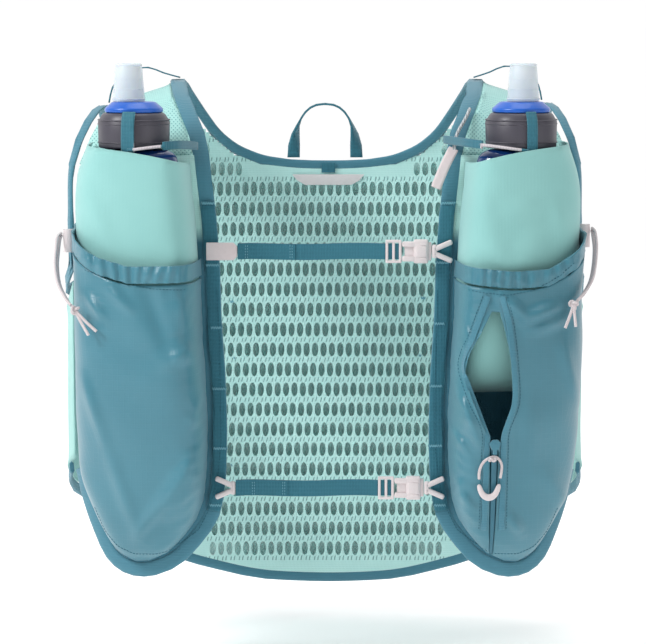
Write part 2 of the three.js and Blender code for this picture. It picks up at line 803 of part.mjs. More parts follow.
function buildBack(name, lift, wall, color, columns, rows, isOpen) {
  const [left, right] = sides.map((side) => {
    const { top, bottom, edge, centre } = backHalf(side);
    const shape = patch(top, bottom, edge, centre);
    const below = (u) => {
      if (u < yoke_seam_share) return lerp(2 * seam_gap, yoke_overhang, u / yoke_seam_share);
      return edge_inset + (u < 0.6 ? 5 : 1) * seam_gap;
    };
    const beside = (v) => seam_gap + arm_inset * Math.max(0, 1 - v / arm_share);
    const inset = { start: beside, top: below, bottom: edge_inset };
    return surfaceGrid(side, insetGrid(side, shape, even(columns), even(rows), inset), lift);
  });
  const grid = left.map((row, i) => {
    const mirror = right[i].slice(0, -1).reverse();
    const seam = row[row.length - 1];
    seam.normal = new THREE.Vector3(0, 1, 0);
    return [...row, ...mirror];
  });
  add(name, clothWall(grid, wall, isOpen), color);
}

// Bindings along the edges
const along = (side, places) => places.map((place) => ({ side, place }));

function buildEdgeBinding(side) {
  const yoke = alongTable(side.edge, 0, row_seam_inner, yoke_steps);
  const inner = alongTable(side.edge, row_seam_inner, row_lobe - 0.5, lobe_steps);
  const outer = alongTable(side.edge, row_lobe + 0.5, row_hem_start, 9);
  const run = along(side, [...yoke, ...inner.slice(1), side.edge[row_lobe], ...outer]);
  run[0].place = [run[0].place[0], 0.012];
  const frames = framesAlong(run, side.sign);
  const half = binding_thickness / 2;
  add(`edge_binding_${side.name}`, band(frames, 0, front_edge_width, -mesh_wall / 2 - half, -mesh_wall / 2 + half), steel_teal);
}

function buildNeckBinding() {
  const [left, right] = sides.map((side) => along(side, [
    ...alongTable(side.neck, 0, 2, yoke_steps),
    ...alongTable(side.neck, 2, side.neck.length - 1, 5).slice(1),
  ]));
  for (const run of [left, right]) run[0].place = [run[0].place[0], 0.012];
  const run = [...left, ...right.reverse().slice(1)];
  const half = binding_thickness / 2;
  const frames = framesAlong(run, 1);
  frames[left.length - 1].normal.x = 0;
  add('neck_binding', band(frames, 0, binding_width, -mesh_wall / 2 - half, -mesh_wall / 2 + half), steel_teal);
}

function buildArmholeBinding(side) {
  const front = alongTable(side.edge, row_underarm, side.edge.length - 1, 8);
  const back = alongTable(side.armBack, 0, side.armBack.length - 1, 17).slice(1, -1);
  const run = along(side, [...front, ...back]);
  const frames = framesAlong(run, -side.sign, true);
  const half = binding_thickness / 2;
  const low = -mesh_wall / 2 - half;
  add(`armhole_binding_${side.name}`, band(frames, 0, armhole_binding_width, low, low + 2 * half, true), steel_teal);
}

function buildHemBinding() {
  const [left, right] = sides.map((side) => along(side, alongTable(side.hem, 0.15, side.hem.length - 1, 15)));
  const run = [...left, ...right.reverse().slice(1)];
  const frames = framesAlong(run, -1);
  const half = binding_thickness / 2;
  add('back_hem_binding', band(frames, 0, binding_width, -mesh_wall / 2 - half, -mesh_wall / 2 + half), steel_teal);
}

// A small plate seated on the cloth: x runs along the body's width, z up the cloth
function seatedPlate(seat, lift, outline, thickness) {
  const point = seat.point.clone();
  const normal = seat.normal.clone();
  const width = new THREE.Vector3(1, 0, 0).addScaledVector(normal, -normal.x).normalize();
  const rise = width.clone().cross(normal);
  if (rise.z < 0) rise.negate();
  const geometry = plate(outline, thickness, 0);
  const basis = new THREE.Matrix4().makeBasis(width, rise.clone().cross(width), rise);
  geometry.applyMatrix4(basis);
  point.addScaledVector(normal, lift);
  geometry.translate(point.x, point.y, point.z);
  return geometry;
}

// Webbing with loops between its bartacks, over the inner edge of a front
function buildDaisyWebbing(side) {
  const steps = 4 * daisy_loops;
  const run = along(side, alongTable(side.edge, 4.3, 9.6, steps));
  const frames = framesAlong(run, side.sign);
  frames.forEach((frame, i) => {
    frame.lift = i % 4 === 2 ? daisy_arch : 0;
  });
  const low = (binding_thickness - mesh_wall) / 2 + touch_gap;
  add(`daisy_webbing_${side.name}`, band(frames, 0.6, 0.6 + daisy_width, low, low + daisy_thickness), deep_teal);
}

// Hang loop: feet flat on the neck, turning edge-on at the top of the arch
const hang_loop_centre = -3.6;
const hang_loop_half_span = 26.5;
const hang_loop_rise = 45;
const hang_loop_width = 10.5;
function buildHangLoop() {
  const steps = 16;
  const { point } = frameAt(sides[0], alongTable(sides[0].neck, 2, 7, 5)[4]);
  const foot_z = point.z + 2;
  const rings = [];
  for (let i = 0; i <= steps; i++) {
    const angle = Math.PI * (1 - i / steps);
    const reach = Math.cos(angle);
    const rise = Math.sin(angle);
    const centre = new THREE.Vector3(
      hang_loop_centre + hang_loop_half_span * Math.sign(reach) * Math.abs(reach) ** 0.8,
      point.y + 0.8,
      foot_z + hang_loop_rise * rise ** 0.9,
    );
    const twist = Math.min(1, 1.6 * rise) * Math.PI / 2;
    const flat = new THREE.Vector3(Math.cos(twist), Math.sin(twist), 0);
    const tangent = new THREE.Vector3(-Math.sin(angle) * hang_loop_half_span, 0, Math.cos(angle) * hang_loop_rise);
    if (rise < 0.3) tangent.set(0, 0, Math.sign(reach));
    tangent.normalize();
    const across = flat.addScaledVector(tangent, -flat.dot(tangent)).normalize();
    const face = tangent.clone().cross(across).normalize();
    const w = hang_loop_width / 2;
    const t = webbing_thickness / 2;
    rings.push([[-w, -t], [w, -t], [w, t], [-w, t]].map(([a, b]) => (
      centre.clone().addScaledVector(across, a).addScaledVector(face, b))));
  }
  add('hang_loop', ringSkin(rings), deep_teal);
}

// Tab and bare label inside the neck
const neck_tab_size = [11.5, 8.5];
const neck_label_top = 61;
const neck_label_bottom = 39;
const neck_label_height = 9;
function buildNeckPieces() {
  const side = sides[0];
  const inside = -(mesh_wall + binding_thickness) / 2 - touch_gap - 0.4;
  const [w, h] = neck_tab_size.map((size) => size / 2);
  const tab_place = [1.997, 0.9];
  const tab = [[-w, -h], [w, -h], [w, h], [-w, h]];
  add('neck_tab', seatedPlate(frameAt(side, tab_place), inside - 0.2, tab, 0.8), deep_teal);
  const [top, bottom, tall] = [neck_label_top / 2, neck_label_bottom / 2, neck_label_height];
  const label = [[-bottom, -tall], [bottom, -tall], [top - 4, -tall + 4], [top, 0], [-top, 0], [-top + 4, -tall + 4]];
  add('neck_label', seatedPlate(frameAt(side, [1.997, 0.942]), -mesh_wall - 1.2, label, 0.6), pale_pink, 0.6);
}

// Thin webbing loop that arches over a yoke from its outer to its inner binding
const shoulder_loop_rise = 21;
const shoulder_loop_arch = [
  { u: 0, rise: 0.07 },
  { u: 0.05, rise: 0.6 },
  { u: 0.16, rise: 0.88 },
  { u: 0.33, rise: 1 },
  { u: 0.55, rise: 0.9 },
  { u: 0.77, rise: 0.48 },
  { u: 1, rise: 0.09 },
];
function buildShoulderLoop(side) {
  const inner = frameAt(side, side.edge[0]).point;
  const outer = frameAt(side, side.edge[side.edge.length - 1]).point;
  outer.x -= side.sign * armhole_binding_width / 2;
  inner.x += side.sign * binding_width / 2;
  const centres = shoulder_loop_arch.map(({ u, rise }) => {
    const centre = outer.clone().lerp(inner, u);
    centre.y = -3;
    centre.z += rise * shoulder_loop_rise;
    return centre;
  });
  const across = new THREE.Vector3(0, 1, 0);
  add(`shoulder_loop_${side.name}`, ribbon(centres, loop_webbing_width, loop_webbing_thickness, across, 12), deep_teal);
}

// Sternum straps: webbing, slider, side-release buckle and hooks on the daisy webbing
const front_face = -front_depth;
const rect = (x0, x1, z0, z1) => [[x0, z0], [x1, z0], [x1, z1], [x0, z1]];

function hookOutline(x, z, reach, height) {
  const h = height / 2;
  const arm = height * 0.28;
  const s = Math.sign(reach);
  const length = Math.abs(reach);
  const points = [
    [0, -arm], [length * 0.35, -arm], [length, -h], [length + 3, -h + 3], [length * 0.5, -0.6],
    [length * 0.5, 0.6], [length + 3, h - 3], [length, h], [length * 0.35, arm], [0, arm],
  ];
  return points.map(([a, b]) => [x + s * a, z + b]);
}

function buckleOutline(x, z) {
  const h = buckle_height / 2;
  const l = buckle_length;
  return [
    [0, -h * 0.55], [l * 0.2, -h * 0.6], [l * 0.42, -h], [l * 0.86, -h], [l, -h * 0.7],
    [l, h * 0.7], [l * 0.86, h], [l * 0.42, h], [l * 0.2, h * 0.6], [0, h * 0.55],
  ].map(([a, b]) => [x + a, z + b]);
}

function buildStrap(name, z, left, right) {
  const y = front_face - strap_lift;
  const h = webbing_width / 2;
  const slider = right - buckle_length - touch_gap - slider_length;
  const webbing = rect(left, slider - touch_gap, z - h, z + h);
  add(`${name}_strap`, plate(webbing, webbing_thickness, y), deep_teal);
  const frame = rect(slider, slider + slider_length, z - slider_height / 2, z + slider_height / 2);
  const slot = (from, short) => rect(slider + from, slider + from + 2.6, z - h + short, z + h - short);
  add(`${name}_slider`, plate(frame, slider_thickness, y, [slot(2, 0.4), slot(7.8, 0.8)]), pale_pink, 0.5);
  const buckle = buckleOutline(right - buckle_length, z);
  add(`${name}_buckle`, plate(buckle, buckle_thickness, y), pale_pink, 0.5);
  const hook = hookOutline(right + touch_gap, z, hook_length, hook_height);
  add(`${name}_hook`, plate(hook, hook_thickness, y), pale_pink, 0.5);
}

const upper_tab_left = -96;
const upper_strap_left = -71.5;
const upper_buckle_right = 79;
const lower_strap_left = -73.5;
const lower_buckle_right = 73.5;
function buildStraps() {
  buildStrap('upper', upper_strap_z, upper_strap_left, upper_buckle_right);
  buildStrap('lower', lower_strap_z, lower_strap_left, lower_buckle_right);
  const y = front_face - strap_lift;
  const end = upper_strap_left - touch_gap;
  const h = webbing_width / 2 + 0.6;
  const tab = [
    [upper_tab_left, upper_strap_z - h], [end - 3, upper_strap_z - h], [end, upper_strap_z - h + 3],
    [end, upper_strap_z + h - 3], [end - 3, upper_strap_z + h], [upper_tab_left, upper_strap_z + h],
  ];
  add('upper_strap_tab', plate(tab, hook_thickness - 1.4, y), pale_pink, 0.6);
  const hook = hookOutline(lower_strap_left - touch_gap, lower_strap_z, -hook_length, hook_height);
  add('lower_end_hook', plate(hook, hook_thickness, y), pale_pink, 0.5);
}

// Soft flask in its own frame: z is the vest's, y = 0 on its axis
const valve_offset = { left: -4, right: 1.5 };
const flask_loop_offset = { left: 4, right: -0.6 };
const lathe = (profile, segments) => {
  const points = profile.map(([r, z]) => new THREE.Vector2(r, z));
  return new THREE.LatheGeometry(points, segments).rotateX(Math.PI / 2);
};

function buildFlask(side) {
  const place = [side.front.turnOf(side.flask_across), 1.02];
  const { point, normal } = frameAt(side, place);
  const seat = touch_gap + 0.2 + flask_half_depth;
  const flask = new THREE.Group();
  flask.position.set(point.x + normal.x * seat, point.y + normal.y * seat, 0);
  flask.rotation.z = Math.atan2(normal.x, -normal.y);
  part.add(flask);
  const put = (name, geometry, color, roughness) => {
    const mesh = add(`${name}_${side.name}`, geometry, color, roughness);
    flask.add(mesh);
  };
  const top = lid_bottom - touch_gap;
  const w = flask_half_width;
  const body = lathe([
    [0, top - flask_length], [w * 0.5, top - flask_length], [w * 0.86, top - flask_length + 9],
    [w, top - flask_length + 30], [w, top - 22], [w * 0.98, top - 8], [w * 0.84, top - 1.5], [w * 0.55, top], [0, top],
  ], 16);
  body.scale(1, flask_half_depth / flask_half_width, 1);
  put('flask_body', body, navy, 0.25);
  const r = lid_radius;
  const lid_top = lid_bottom + lid_height;
  put('flask_lid', lathe([
    [0, lid_bottom], [r, lid_bottom], [r + 0.4, lid_top - 7], [r - 2.5, lid_top - 2], [r - 4, lid_top], [0, lid_top],
  ], 18), charcoal, 0.5);
  const collar_bottom = lid_top + touch_gap;
  const collar_top = collar_bottom + collar_height;
  const collar = lathe([
    [0, collar_bottom], [collar_radius, collar_bottom], [collar_radius, collar_bottom + 3],
    [collar_radius - 6, collar_top], [0, collar_top],
  ], 14);
  const base = collar_top + touch_gap;
  const v = valve_radius;
  const valve = lathe([
    [0, collar_top - 2], [v, collar_top - 2], [v, base + 9], [v - 2, base + 11], [v - 2, base + valve_height],
    [0, base + valve_height],
  ], 10);
  put('flask_cap', fused([collar, valve.translate(valve_offset[side.name], 0, 0)]), bright_blue, 0.4);
  const c = cover_radius;
  const cover = lathe([
    [0, base + cover_height - 2], [c - cover_wall, base + cover_height - 2],
    [c + cover_flare - cover_wall, base], [c + cover_flare, base], [c, base + cover_height - 2],
    [c - 1, base + cover_height], [0, base + cover_height],
  ], 14);
  put('flask_cover', cover.translate(valve_offset[side.name], 0, 0), clear_white, 0.3);
  buildFlaskLoop(side, flask);
}

// Loop that holds a flask down: webbing over its lid, elastic cord and a tab sewn to the edge band
const flask_loops = {
  left: {
    half: 5.2,
    cord: [[-154, -153.6, -49.5], [-147, -155.3, -48.8], [-138, -154.6, -47.6], [-125, -151, -46.5]],
    tab: [[-127, -152, -46.5], [-115, -139, -46], [-103, -100, -49]],
  },
  right: {
    half: 4.2,
    cord: [[151, -153.5, -50], [144, -155.3, -49.2], [132, -154.5, -47.5], [114, -149, -45.5]],
    tab: [[116, -150, -45.5], [103, -134, -44.5], [89, -95.8, -44]],
  },
};
const elastic_diameter = 2.6;
const loop_tab_size = [6.5, 1.8];
function buildFlaskLoop(side, flask) {
  const lid_top = lid_bottom + lid_height;
  const front = -(lid_radius + touch_gap + 1.3);
  const x = flask_loop_offset[side.name];
  const { half, cord, tab } = flask_loops[side.name];
  const over_lid = [
    [front, lid_bottom - 2.5], [front, lid_top - 8], [front + 2.4, lid_top - 2.4], [front + 4.6, lid_top + 1.3],
  ];
  const rings = over_lid.map(([y, z], i) => {
    const [y0, z0] = over_lid[Math.max(0, i - 1)];
    const [y1, z1] = over_lid[Math.min(over_lid.length - 1, i + 1)];
    const size = 2 * Math.hypot(y1 - y0, z1 - z0) / loop_webbing_thickness;
    const [ny, nz] = [-(z1 - z0) / size, (y1 - y0) / size];
    return [[-half, 1], [half, 1], [half, -1], [-half, -1]].map(([a, face]) => (
      new THREE.Vector3(x + a, y + face * ny, z + face * nz)));
  });
  flask.updateMatrix();
  const webbing = ringSkin(rings).applyMatrix4(flask.matrix);
  const elastic = cordAlong(cord, elastic_diameter, 5);
  const [tall, thick] = loop_tab_size;
  const points = tab.map((p) => new THREE.Vector3(...p));
  const tab_ribbon = ribbon(points, tall, thick, new THREE.Vector3(0, 0, 1), 4);
  add(`flask_loop_${side.name}`, fused([webbing, elastic, tab_ribbon]), deep_teal);
}

// Pull tab on a reflective cord, on the right shoulder only
const pull_cord = [[110, -72.3, -21], [106.5, -82.5, -28], [101, -93, -36], [97.5, -102, -43], [96.2, -107, -52]];
const pull_tab = [[96, -107, -50.5], [89, -111, -64], [82, -111.5, -81]];
const pull_cord_diameter = 3;
const pull_tab_size = [8, 2];
function buildPullTab() {
  const [wide, thick] = pull_tab_size;
  const points = pull_tab.map((p) => new THREE.Vector3(...p));
  const tab = ribbon(points, wide, thick, new THREE.Vector3(1, 0, 0), 5);
  add('pull_tab', fused([tab, cordAlong(pull_cord, pull_cord_diameter, 6)]), pale_pink, 0.6);
}

// Drawcords of the cargo pockets: a lock at the mouth, two strands and a knot with two tails.
// The second strand runs beside the first.
const drawcords = {
  left: {
    lock: [-204.7, -82, -133],
    strand: [
      [-210.9, -83, -118], [-213.5, -88, -121], [-214, -97, -130], [-213.5, -112, -141],
      [-210, -130, -153], [-203, -147, -163], [-198, -154, -168],
    ],
    beside: [1.8, 1.8, -2.2],
    tails: [[-184, -163, -190], [-178, -163, -187]],
  },
  right: {
    lock: [199.7, -82, -129],
    strand: [
      [205.9, -83, -114], [208, -88, -117], [208.5, -97, -127], [206.5, -112, -139],
      [202.5, -130, -150], [195, -148, -159], [189, -157, -164],
    ],
    beside: [-1.8, 1.8, -2.2],
    tails: [[179, -166, -184], [187, -166, -183]],
  },
};
const lock_radius = 5;
const lock_height = 18;
const knot_radius = 4.2;
function buildDrawcord(side) {
  const { lock, strand, beside, tails } = drawcords[side.name];
  const r = lock_radius;
  const barrel = lathe([
    [0, 0], [r - 1.2, 0], [r, 1.5], [r, lock_height - 5], [r - 1.6, lock_height - 3.5], [r - 1.6, lock_height],
    [0, lock_height],
  ], 10);
  add(`cord_lock_${side.name}`, barrel.translate(...lock), pale_pink, 0.5);
  const second = strand.map((point, i) => point.map((value, k) => value + (i + k === 0 ? 0 : beside[k])));
  add(`drawcord_a_${side.name}`, cordAlong(strand, drawcord_diameter, 10), pale_pink);
  add(`drawcord_b_${side.name}`, cordAlong(second, drawcord_diameter, 10), pale_pink);
  const end = (run) => new THREE.Vector3(...run[run.length - 1]);
  const before = new THREE.Vector3(...strand[strand.length - 2]);
  const heading = end(strand).sub(before).normalize();
  const centre = end(strand).lerp(end(second), 0.5).addScaledVector(heading, knot_radius + 0.9);
  const ball = new THREE.SphereGeometry(knot_radius, 7, 5).translate(...centre.toArray());
  const ends = tails.map((tail) => {
    const middle = centre.clone().lerp(new THREE.Vector3(...tail), 0.5);
    middle.y -= 1;
    return cordAlong([centre.toArray(), middle.toArray(), tail], drawcord_diameter, 3);
  });
  add(`drawcord_knot_${side.name}`, fused([ball, ...ends]), pale_pink);
}

// Zip: closed tape under the slider, the slider with its eye, the cord loop and its grip.
// across and along are measured from the slider, in mm to the right and down the pocket.
const zip_slider_size = [9, 8];
const zip_eye = 3.4;
const zip_grip_width = 20;
const zip_grip_height = 15;
const zip_grip_along = 30;
const zip_cord_loop = [
  { across: -11, along: 30 },
  { across: -11.5, along: 22 },
  { across: -8, along: 13.5 },
  { across: -1, along: 9.3 },
  { across: 5, along: 14 },
  { across: 5, along: 22 },
  { across: 3, along: 30 },
];
function buildZip() {
  const side = sides[1];
  const width = pocketWidth(side);
  const half = (zip_half_width - 3 * touch_gap) / width;
  const seatAt = (across, length) => {
    const slider_v = zip_slider_row / pocket_rows;
    const z0 = cargoPoint(side, 0.3, slider_v, cargo_drop).point.z;
    const z1 = cargoPoint(side, 0.3, slider_v + 0.1, cargo_drop).point.z;
    const v = slider_v + 0.1 * length / (z0 - z1);
    return cargoPoint(side, zipShare(side, v) + across / width, v, cargo_drop);
  };
  const rows = zip_end_row - zip_slider_row;
  const grid = even(rows).map((_, i) => {
    const row = zip_slider_row + i + (i === 0 ? 0.1 : 0) - (i === rows ? 0.1 : 0);
    const v = row / pocket_rows;
    return [-1, 0, 1].map((k) => cargoPoint(side, zipShare(side, v) + k * half, v, cargo_drop));
  });
  add('zip_tape', clothWall(grid, nylon_wall), deep_teal);
  const [w, h] = zip_slider_size.map((size) => size / 2);
  const eye = 1.6;
  const slider = [
    [-w * 0.6, -h], [-eye, -h], [-eye, -h - zip_eye], [eye, -h - zip_eye], [eye, -h], [w * 0.6, -h],
    [w, h * 0.3], [w * 0.5, h], [-w * 0.5, h], [-w, h * 0.3],
  ];
  add('zip_slider', seatedPlate(seatAt(0, 0), touch_gap + 1.6, slider, 2), pale_pink, 0.5);
  const [gw, gh] = [zip_grip_width / 2, zip_grip_height];
  const grip = [
    [-gw, -gh * 0.2], [-gw * 0.7, -gh * 0.75], [0, -gh], [gw * 0.7, -gh * 0.75], [gw, -gh * 0.2],
    [gw * 0.9, 0], [gw * 0.6, 0], [gw * 0.4, -gh * 0.45], [0, -gh * 0.58], [-gw * 0.4, -gh * 0.45],
    [-gw * 0.6, 0], [-gw * 0.9, 0],
  ];
  add('zip_grip', seatedPlate(seatAt(-4, zip_grip_along + 1.6), touch_gap + 1.9, grip, 2.6), pale_pink, 0.5);
  const loop = zip_cord_loop.map((at) => {
    const { point, normal } = seatAt(at.across, at.along);
    return point.addScaledVector(normal, touch_gap + 1 + zip_cord_diameter / 2).toArray();
  });
  add('zip_pull_cord', cordAlong(loop, zip_cord_diameter, 14), pale_pink);
}

for (const side of sides) buildFlask(side);
for (const side of sides) {
  buildYoke(side);
  buildDaisyWebbing(side);
  buildShoulderLoop(side);
  buildFrontPanel(side);
  buildSidePanel(side);
  buildFlaskPocket(side);
  buildCargoPocket(side);
  buildCargoHem(side);
  buildEdgeBinding(side);
  buildArmholeBinding(side);
  buildDrawcord(side);
}
const gap_rows = (i, j) => i > 1 && i < back_rows - 1 && i % 2 === 0 && j % 2 === 1 && j > 1 && j < 16;
buildBack('back_panel', 0, mesh_wall, mint, back_half_columns, back_rows, gap_rows);
buildBack('back_outer_layer', lining_gap, lining_wall, aqua, 6, 5, () => false);
buildNeckBinding();
buildHemBinding();
buildHangLoop();
buildNeckPieces();
buildStraps();
buildPullTab();
buildZip();

export default part;
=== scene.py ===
# %% [markdown]
# # Running hydration vest
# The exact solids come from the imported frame, and this lesson dresses them: cloth gets its
# folds, weave and stitches, the fittings their moulded detail and the cords their braid. A
# vest like this could be sculpted freely, but then its sizes would drift. Every piece here
# starts from its solid, so the look and the sizes stay together. Everything is in metres,
# with +Z up and the front of the vest towards -Y.

# %% Frame
import bisect
import math

import bmesh
import bpy
import numpy as np
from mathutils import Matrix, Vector, noise
from mathutils.bvhtree import BVHTree


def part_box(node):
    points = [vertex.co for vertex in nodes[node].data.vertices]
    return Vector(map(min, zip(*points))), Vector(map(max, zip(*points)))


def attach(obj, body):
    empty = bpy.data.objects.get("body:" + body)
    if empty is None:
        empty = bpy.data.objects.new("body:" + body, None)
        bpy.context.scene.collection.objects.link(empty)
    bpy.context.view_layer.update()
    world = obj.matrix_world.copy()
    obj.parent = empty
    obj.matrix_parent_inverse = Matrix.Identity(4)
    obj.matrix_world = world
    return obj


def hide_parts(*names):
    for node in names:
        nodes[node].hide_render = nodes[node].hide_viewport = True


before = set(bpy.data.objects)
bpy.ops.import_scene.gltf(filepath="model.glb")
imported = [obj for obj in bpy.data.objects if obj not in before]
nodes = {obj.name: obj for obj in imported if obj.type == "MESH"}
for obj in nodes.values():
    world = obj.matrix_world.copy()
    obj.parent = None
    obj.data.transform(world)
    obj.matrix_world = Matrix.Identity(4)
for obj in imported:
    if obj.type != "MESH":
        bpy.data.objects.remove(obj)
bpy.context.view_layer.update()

scene = bpy.context.scene
print("nodes", len(nodes))

# %% [markdown]
# ## Camera
# The photograph looks straight at the front from a little above, through a long lens. A near
# camera with a wide lens could fill the picture too, but it would spread the pockets
# outwards. So the camera stands far back, and its lens is worked out from its distance and
# the width that the picture shows.

# %% Camera
AIM = Vector((-0.0053, 0.0, -0.197))
CAMERA_DISTANCE = 2.5
CAMERA_RISE = math.radians(6)
VIEW_WIDTH = 0.5265
SENSOR = 36

eye = AIM + CAMERA_DISTANCE * Vector((0, -math.cos(CAMERA_RISE), math.sin(CAMERA_RISE)))
bpy.ops.object.camera_add(location=eye)
camera = bpy.context.object
camera.rotation_euler = (AIM - eye).to_track_quat("-Z", "Y").to_euler()
camera.data.sensor_width = SENSOR
camera.data.lens = SENSOR * CAMERA_DISTANCE / VIEW_WIDTH
scene.camera = camera
print("lens", round(camera.data.lens, 1), "mm")

# %% [markdown]
# ## Floor and light
# The vest is shown on white, as in a shop's picture. The floor is one large plane under it. A
# curved studio sweep could join floor and wall, but the seam is far behind the vest and out
# of sight from the front, so a plane is enough.

# %% Floor
FLOOR_Z = -0.46
FLOOR_SIZE = 14
bpy.ops.mesh.primitive_plane_add(size=FLOOR_SIZE, location=(0, -3.8, FLOOR_Z))
floor = bpy.context.object
floor.name = "floor"
print("floor", FLOOR_SIZE, "m wide at", FLOOR_Z)


# %% [markdown]
# A photographer lights cloth with softboxes. Small lamps would give hard shadows, and the
# surround alone would leave the folds flat. So three large area lamps are used: a strong key
# from the upper left, a weak fill and one from above. The folds then have a light and a dark
# side.


# %% Lamps
def lamp(name, place, size, power):
    """A soft square lamp aimed at the vest."""
    bpy.ops.object.light_add(type="AREA", location=place)
    light = bpy.context.object
    light.name = name
    light.data.size = size
    light.data.energy = power
    light.rotation_euler = (AIM - Vector(place)).to_track_quat("-Z", "Y").to_euler()
    print("lamp", name, power, "W")


lamp("key", (-2.0, -1.1, 1.5), 0.8, 52)
lamp("fill", (1.9, -1.8, 0.4), 1.8, 7)
lamp("top", (0.1, 0.2, 2.2), 1.4, 16)

# %% [markdown]
# Behind the vest stands a sheet of white paper. It could be lit by lamps, but it would turn
# grey towards its edges, so it glows by itself. The world adds an even light from all sides,
# as white walls do.

# %% Backdrop and surround
bpy.ops.mesh.primitive_plane_add(size=16, location=(0, 3.2, 2), rotation=(math.pi / 2, 0, 0))
backdrop = bpy.context.object
backdrop.name = "backdrop"

world = bpy.data.worlds.new("surround")
scene.world = world
world.use_nodes = True
background = world.node_tree.nodes["Background"]
background.inputs["Color"].default_value = (1, 1, 1, 1)
background.inputs["Strength"].default_value = 0.46
scene.view_settings.view_transform = "Standard"
scene.view_settings.look = "None"
print("staged", floor.name, backdrop.name)

# %% [markdown]
# ## Shader maths
# A woven pattern is arithmetic on a place: waves for yarns, a repeat for a grid. It could be
# wired node by node in the shader editor, which soon gets hard to read. This class wraps a
# socket, so the same nodes are added by writing an expression.


# %% A socket that does arithmetic
class Value:
    """A socket that adds Math nodes when it is used in arithmetic."""

    def __init__(self, finish, socket):
        self.finish = finish
        self.socket = socket

    def math(self, operation, *others):
        """Adds one Math node, with this value first."""
        settings = {"operation": operation}
        return self.finish.node("ShaderNodeMath", settings, dict(enumerate((self, *others))))

    def __add__(self, other):
        return self.math("ADD", other)

    __radd__ = __add__

    def __mul__(self, other):
        return self.math("MULTIPLY", other)

    __rmul__ = __mul__

    def __sub__(self, other):
        return self.math("SUBTRACT", other)

    def __rsub__(self, other):
        return (self * -1) + other

    def __truediv__(self, other):
        return self.math("DIVIDE", other)

    def wave(self, pitch, shift=0.0):
        """0 to 1 and back over each pitch."""
        return (self * (2 * math.pi / pitch) + shift).math("SINE") * 0.5 + 0.5

    def repeat(self, pitch):
        """-0.5 to 0.5 over each pitch."""
        return (self * (1 / pitch)).math("FRACT") - 0.5

    def clamp(self, low=0.0, high=1.0):
        """Kept between two limits."""
        return self.math("MAXIMUM", low).math("MINIMUM", high)

    def size(self):
        """The value without its sign."""
        return self.math("ABSOLUTE")

    def below(self, limit, soft):
        """1 where the value is under the limit, with a soft edge."""
        return ((self - limit) * (-1 / soft) + 0.5).clamp()


# %% [markdown]
# The colours were read from the photograph, as a screen shows them. Shaders work with light, so each one is
# made linear before it is used.


# %% Colours read from the photograph
def srgb(red, green, blue):
    """A colour read from the photograph, made linear."""
    def linear(value):
        value /= 255
        return value / 12.92 if value <= 0.04045 else ((value + 0.055) / 1.055) ** 2.4
    return (linear(red), linear(green), linear(blue), 1)


# %% [markdown]
# Every material of the vest is one Principled shader with a pattern in front of it. The class
# says the wiring once: where the pattern is read, how two colours are blended, and how relief
# goes to the normal. A finish is then a few lines.


# %% A finish
class Finish:
    """A material on a Principled shader."""

    def __init__(self, name, roughness=0.8, sheen=0.0, coat=0.0, specular=0.5):
        self.material = bpy.data.materials.new(name)
        self.material.use_nodes = True
        self.tree = self.material.node_tree
        self.shader = self.tree.nodes["Principled BSDF"]
        self.shader.inputs["Roughness"].default_value = roughness
        self.shader.inputs["Sheen Weight"].default_value = sheen
        self.shader.inputs["Coat Weight"].default_value = coat
        self.shader.inputs["Specular IOR Level"].default_value = specular

    def node(self, kind, settings, sockets, output=0):
        """Any node: its settings first, then the values or links of its sockets."""
        made = self.tree.nodes.new(kind)
        for key, value in settings.items():
            setattr(made, key, value)
        for key, value in sockets.items():
            if isinstance(value, Value):
                self.tree.links.new(value.socket, made.inputs[key])
            else:
                made.inputs[key].default_value = value
        return Value(self, made.outputs[output])

    def place(self):
        """Object coordinates as three numbers, in metres."""
        where = self.node("ShaderNodeTexCoord", {}, {}, "Object")
        split = self.node("ShaderNodeSeparateXYZ", {}, {0: where})
        outs = split.socket.node.outputs
        return where, [Value(self, outs[k]) for k in range(3)]

    def chart(self, name="cloth"):
        """The piece's own map, in metres along and across the cloth."""
        where = self.node("ShaderNodeUVMap", {"uv_map": name}, {}, "UV")
        split = self.node("ShaderNodeSeparateXYZ", {}, {0: where})
        outs = split.socket.node.outputs
        return [Value(self, outs[k]) for k in range(2)]

    def noise(self, where, scale, detail=2.0):
        """Clouds from 0 to 1 at a place."""
        sockets = {"Vector": where, "Scale": scale, "Detail": detail}
        return self.node("ShaderNodeTexNoise", {}, sockets, "Fac")

    def blend(self, share, first, second):
        """A colour between two colours."""
        settings = {"data_type": "RGBA"}
        return self.node("ShaderNodeMix", settings, {0: share, 6: first, 7: second}, 2)

    def paint(self, color):
        """Base colour, plain or from nodes."""
        if isinstance(color, Value):
            self.tree.links.new(color.socket, self.shader.inputs["Base Color"])
        else:
            self.shader.inputs["Base Color"].default_value = color

    def rough(self, value):
        """Roughness that changes over the surface."""
        self.tree.links.new(value.socket, self.shader.inputs["Roughness"])

    def bump(self, height, depth, strength=1.0):
        """Relief: a height from 0 to 1 over a depth in metres."""
        sockets = {"Height": height, "Distance": depth, "Strength": strength}
        made = self.node("ShaderNodeBump", {}, sockets)
        self.tree.links.new(made.socket, self.shader.inputs["Normal"])


# %% [markdown]
# ## Cloth finishes
# The vest has six cloths: an open spacer mesh, a finer net behind it, a shoulder mesh, a
# stretch knit, a shiny ripstop nylon and woven tapes. A photograph of each could be laid on
# as an image, but it would blur close up. The patterns are drawn in maths on a map in metres,
# so a yarn has its real size everywhere. First come the colours that they share.

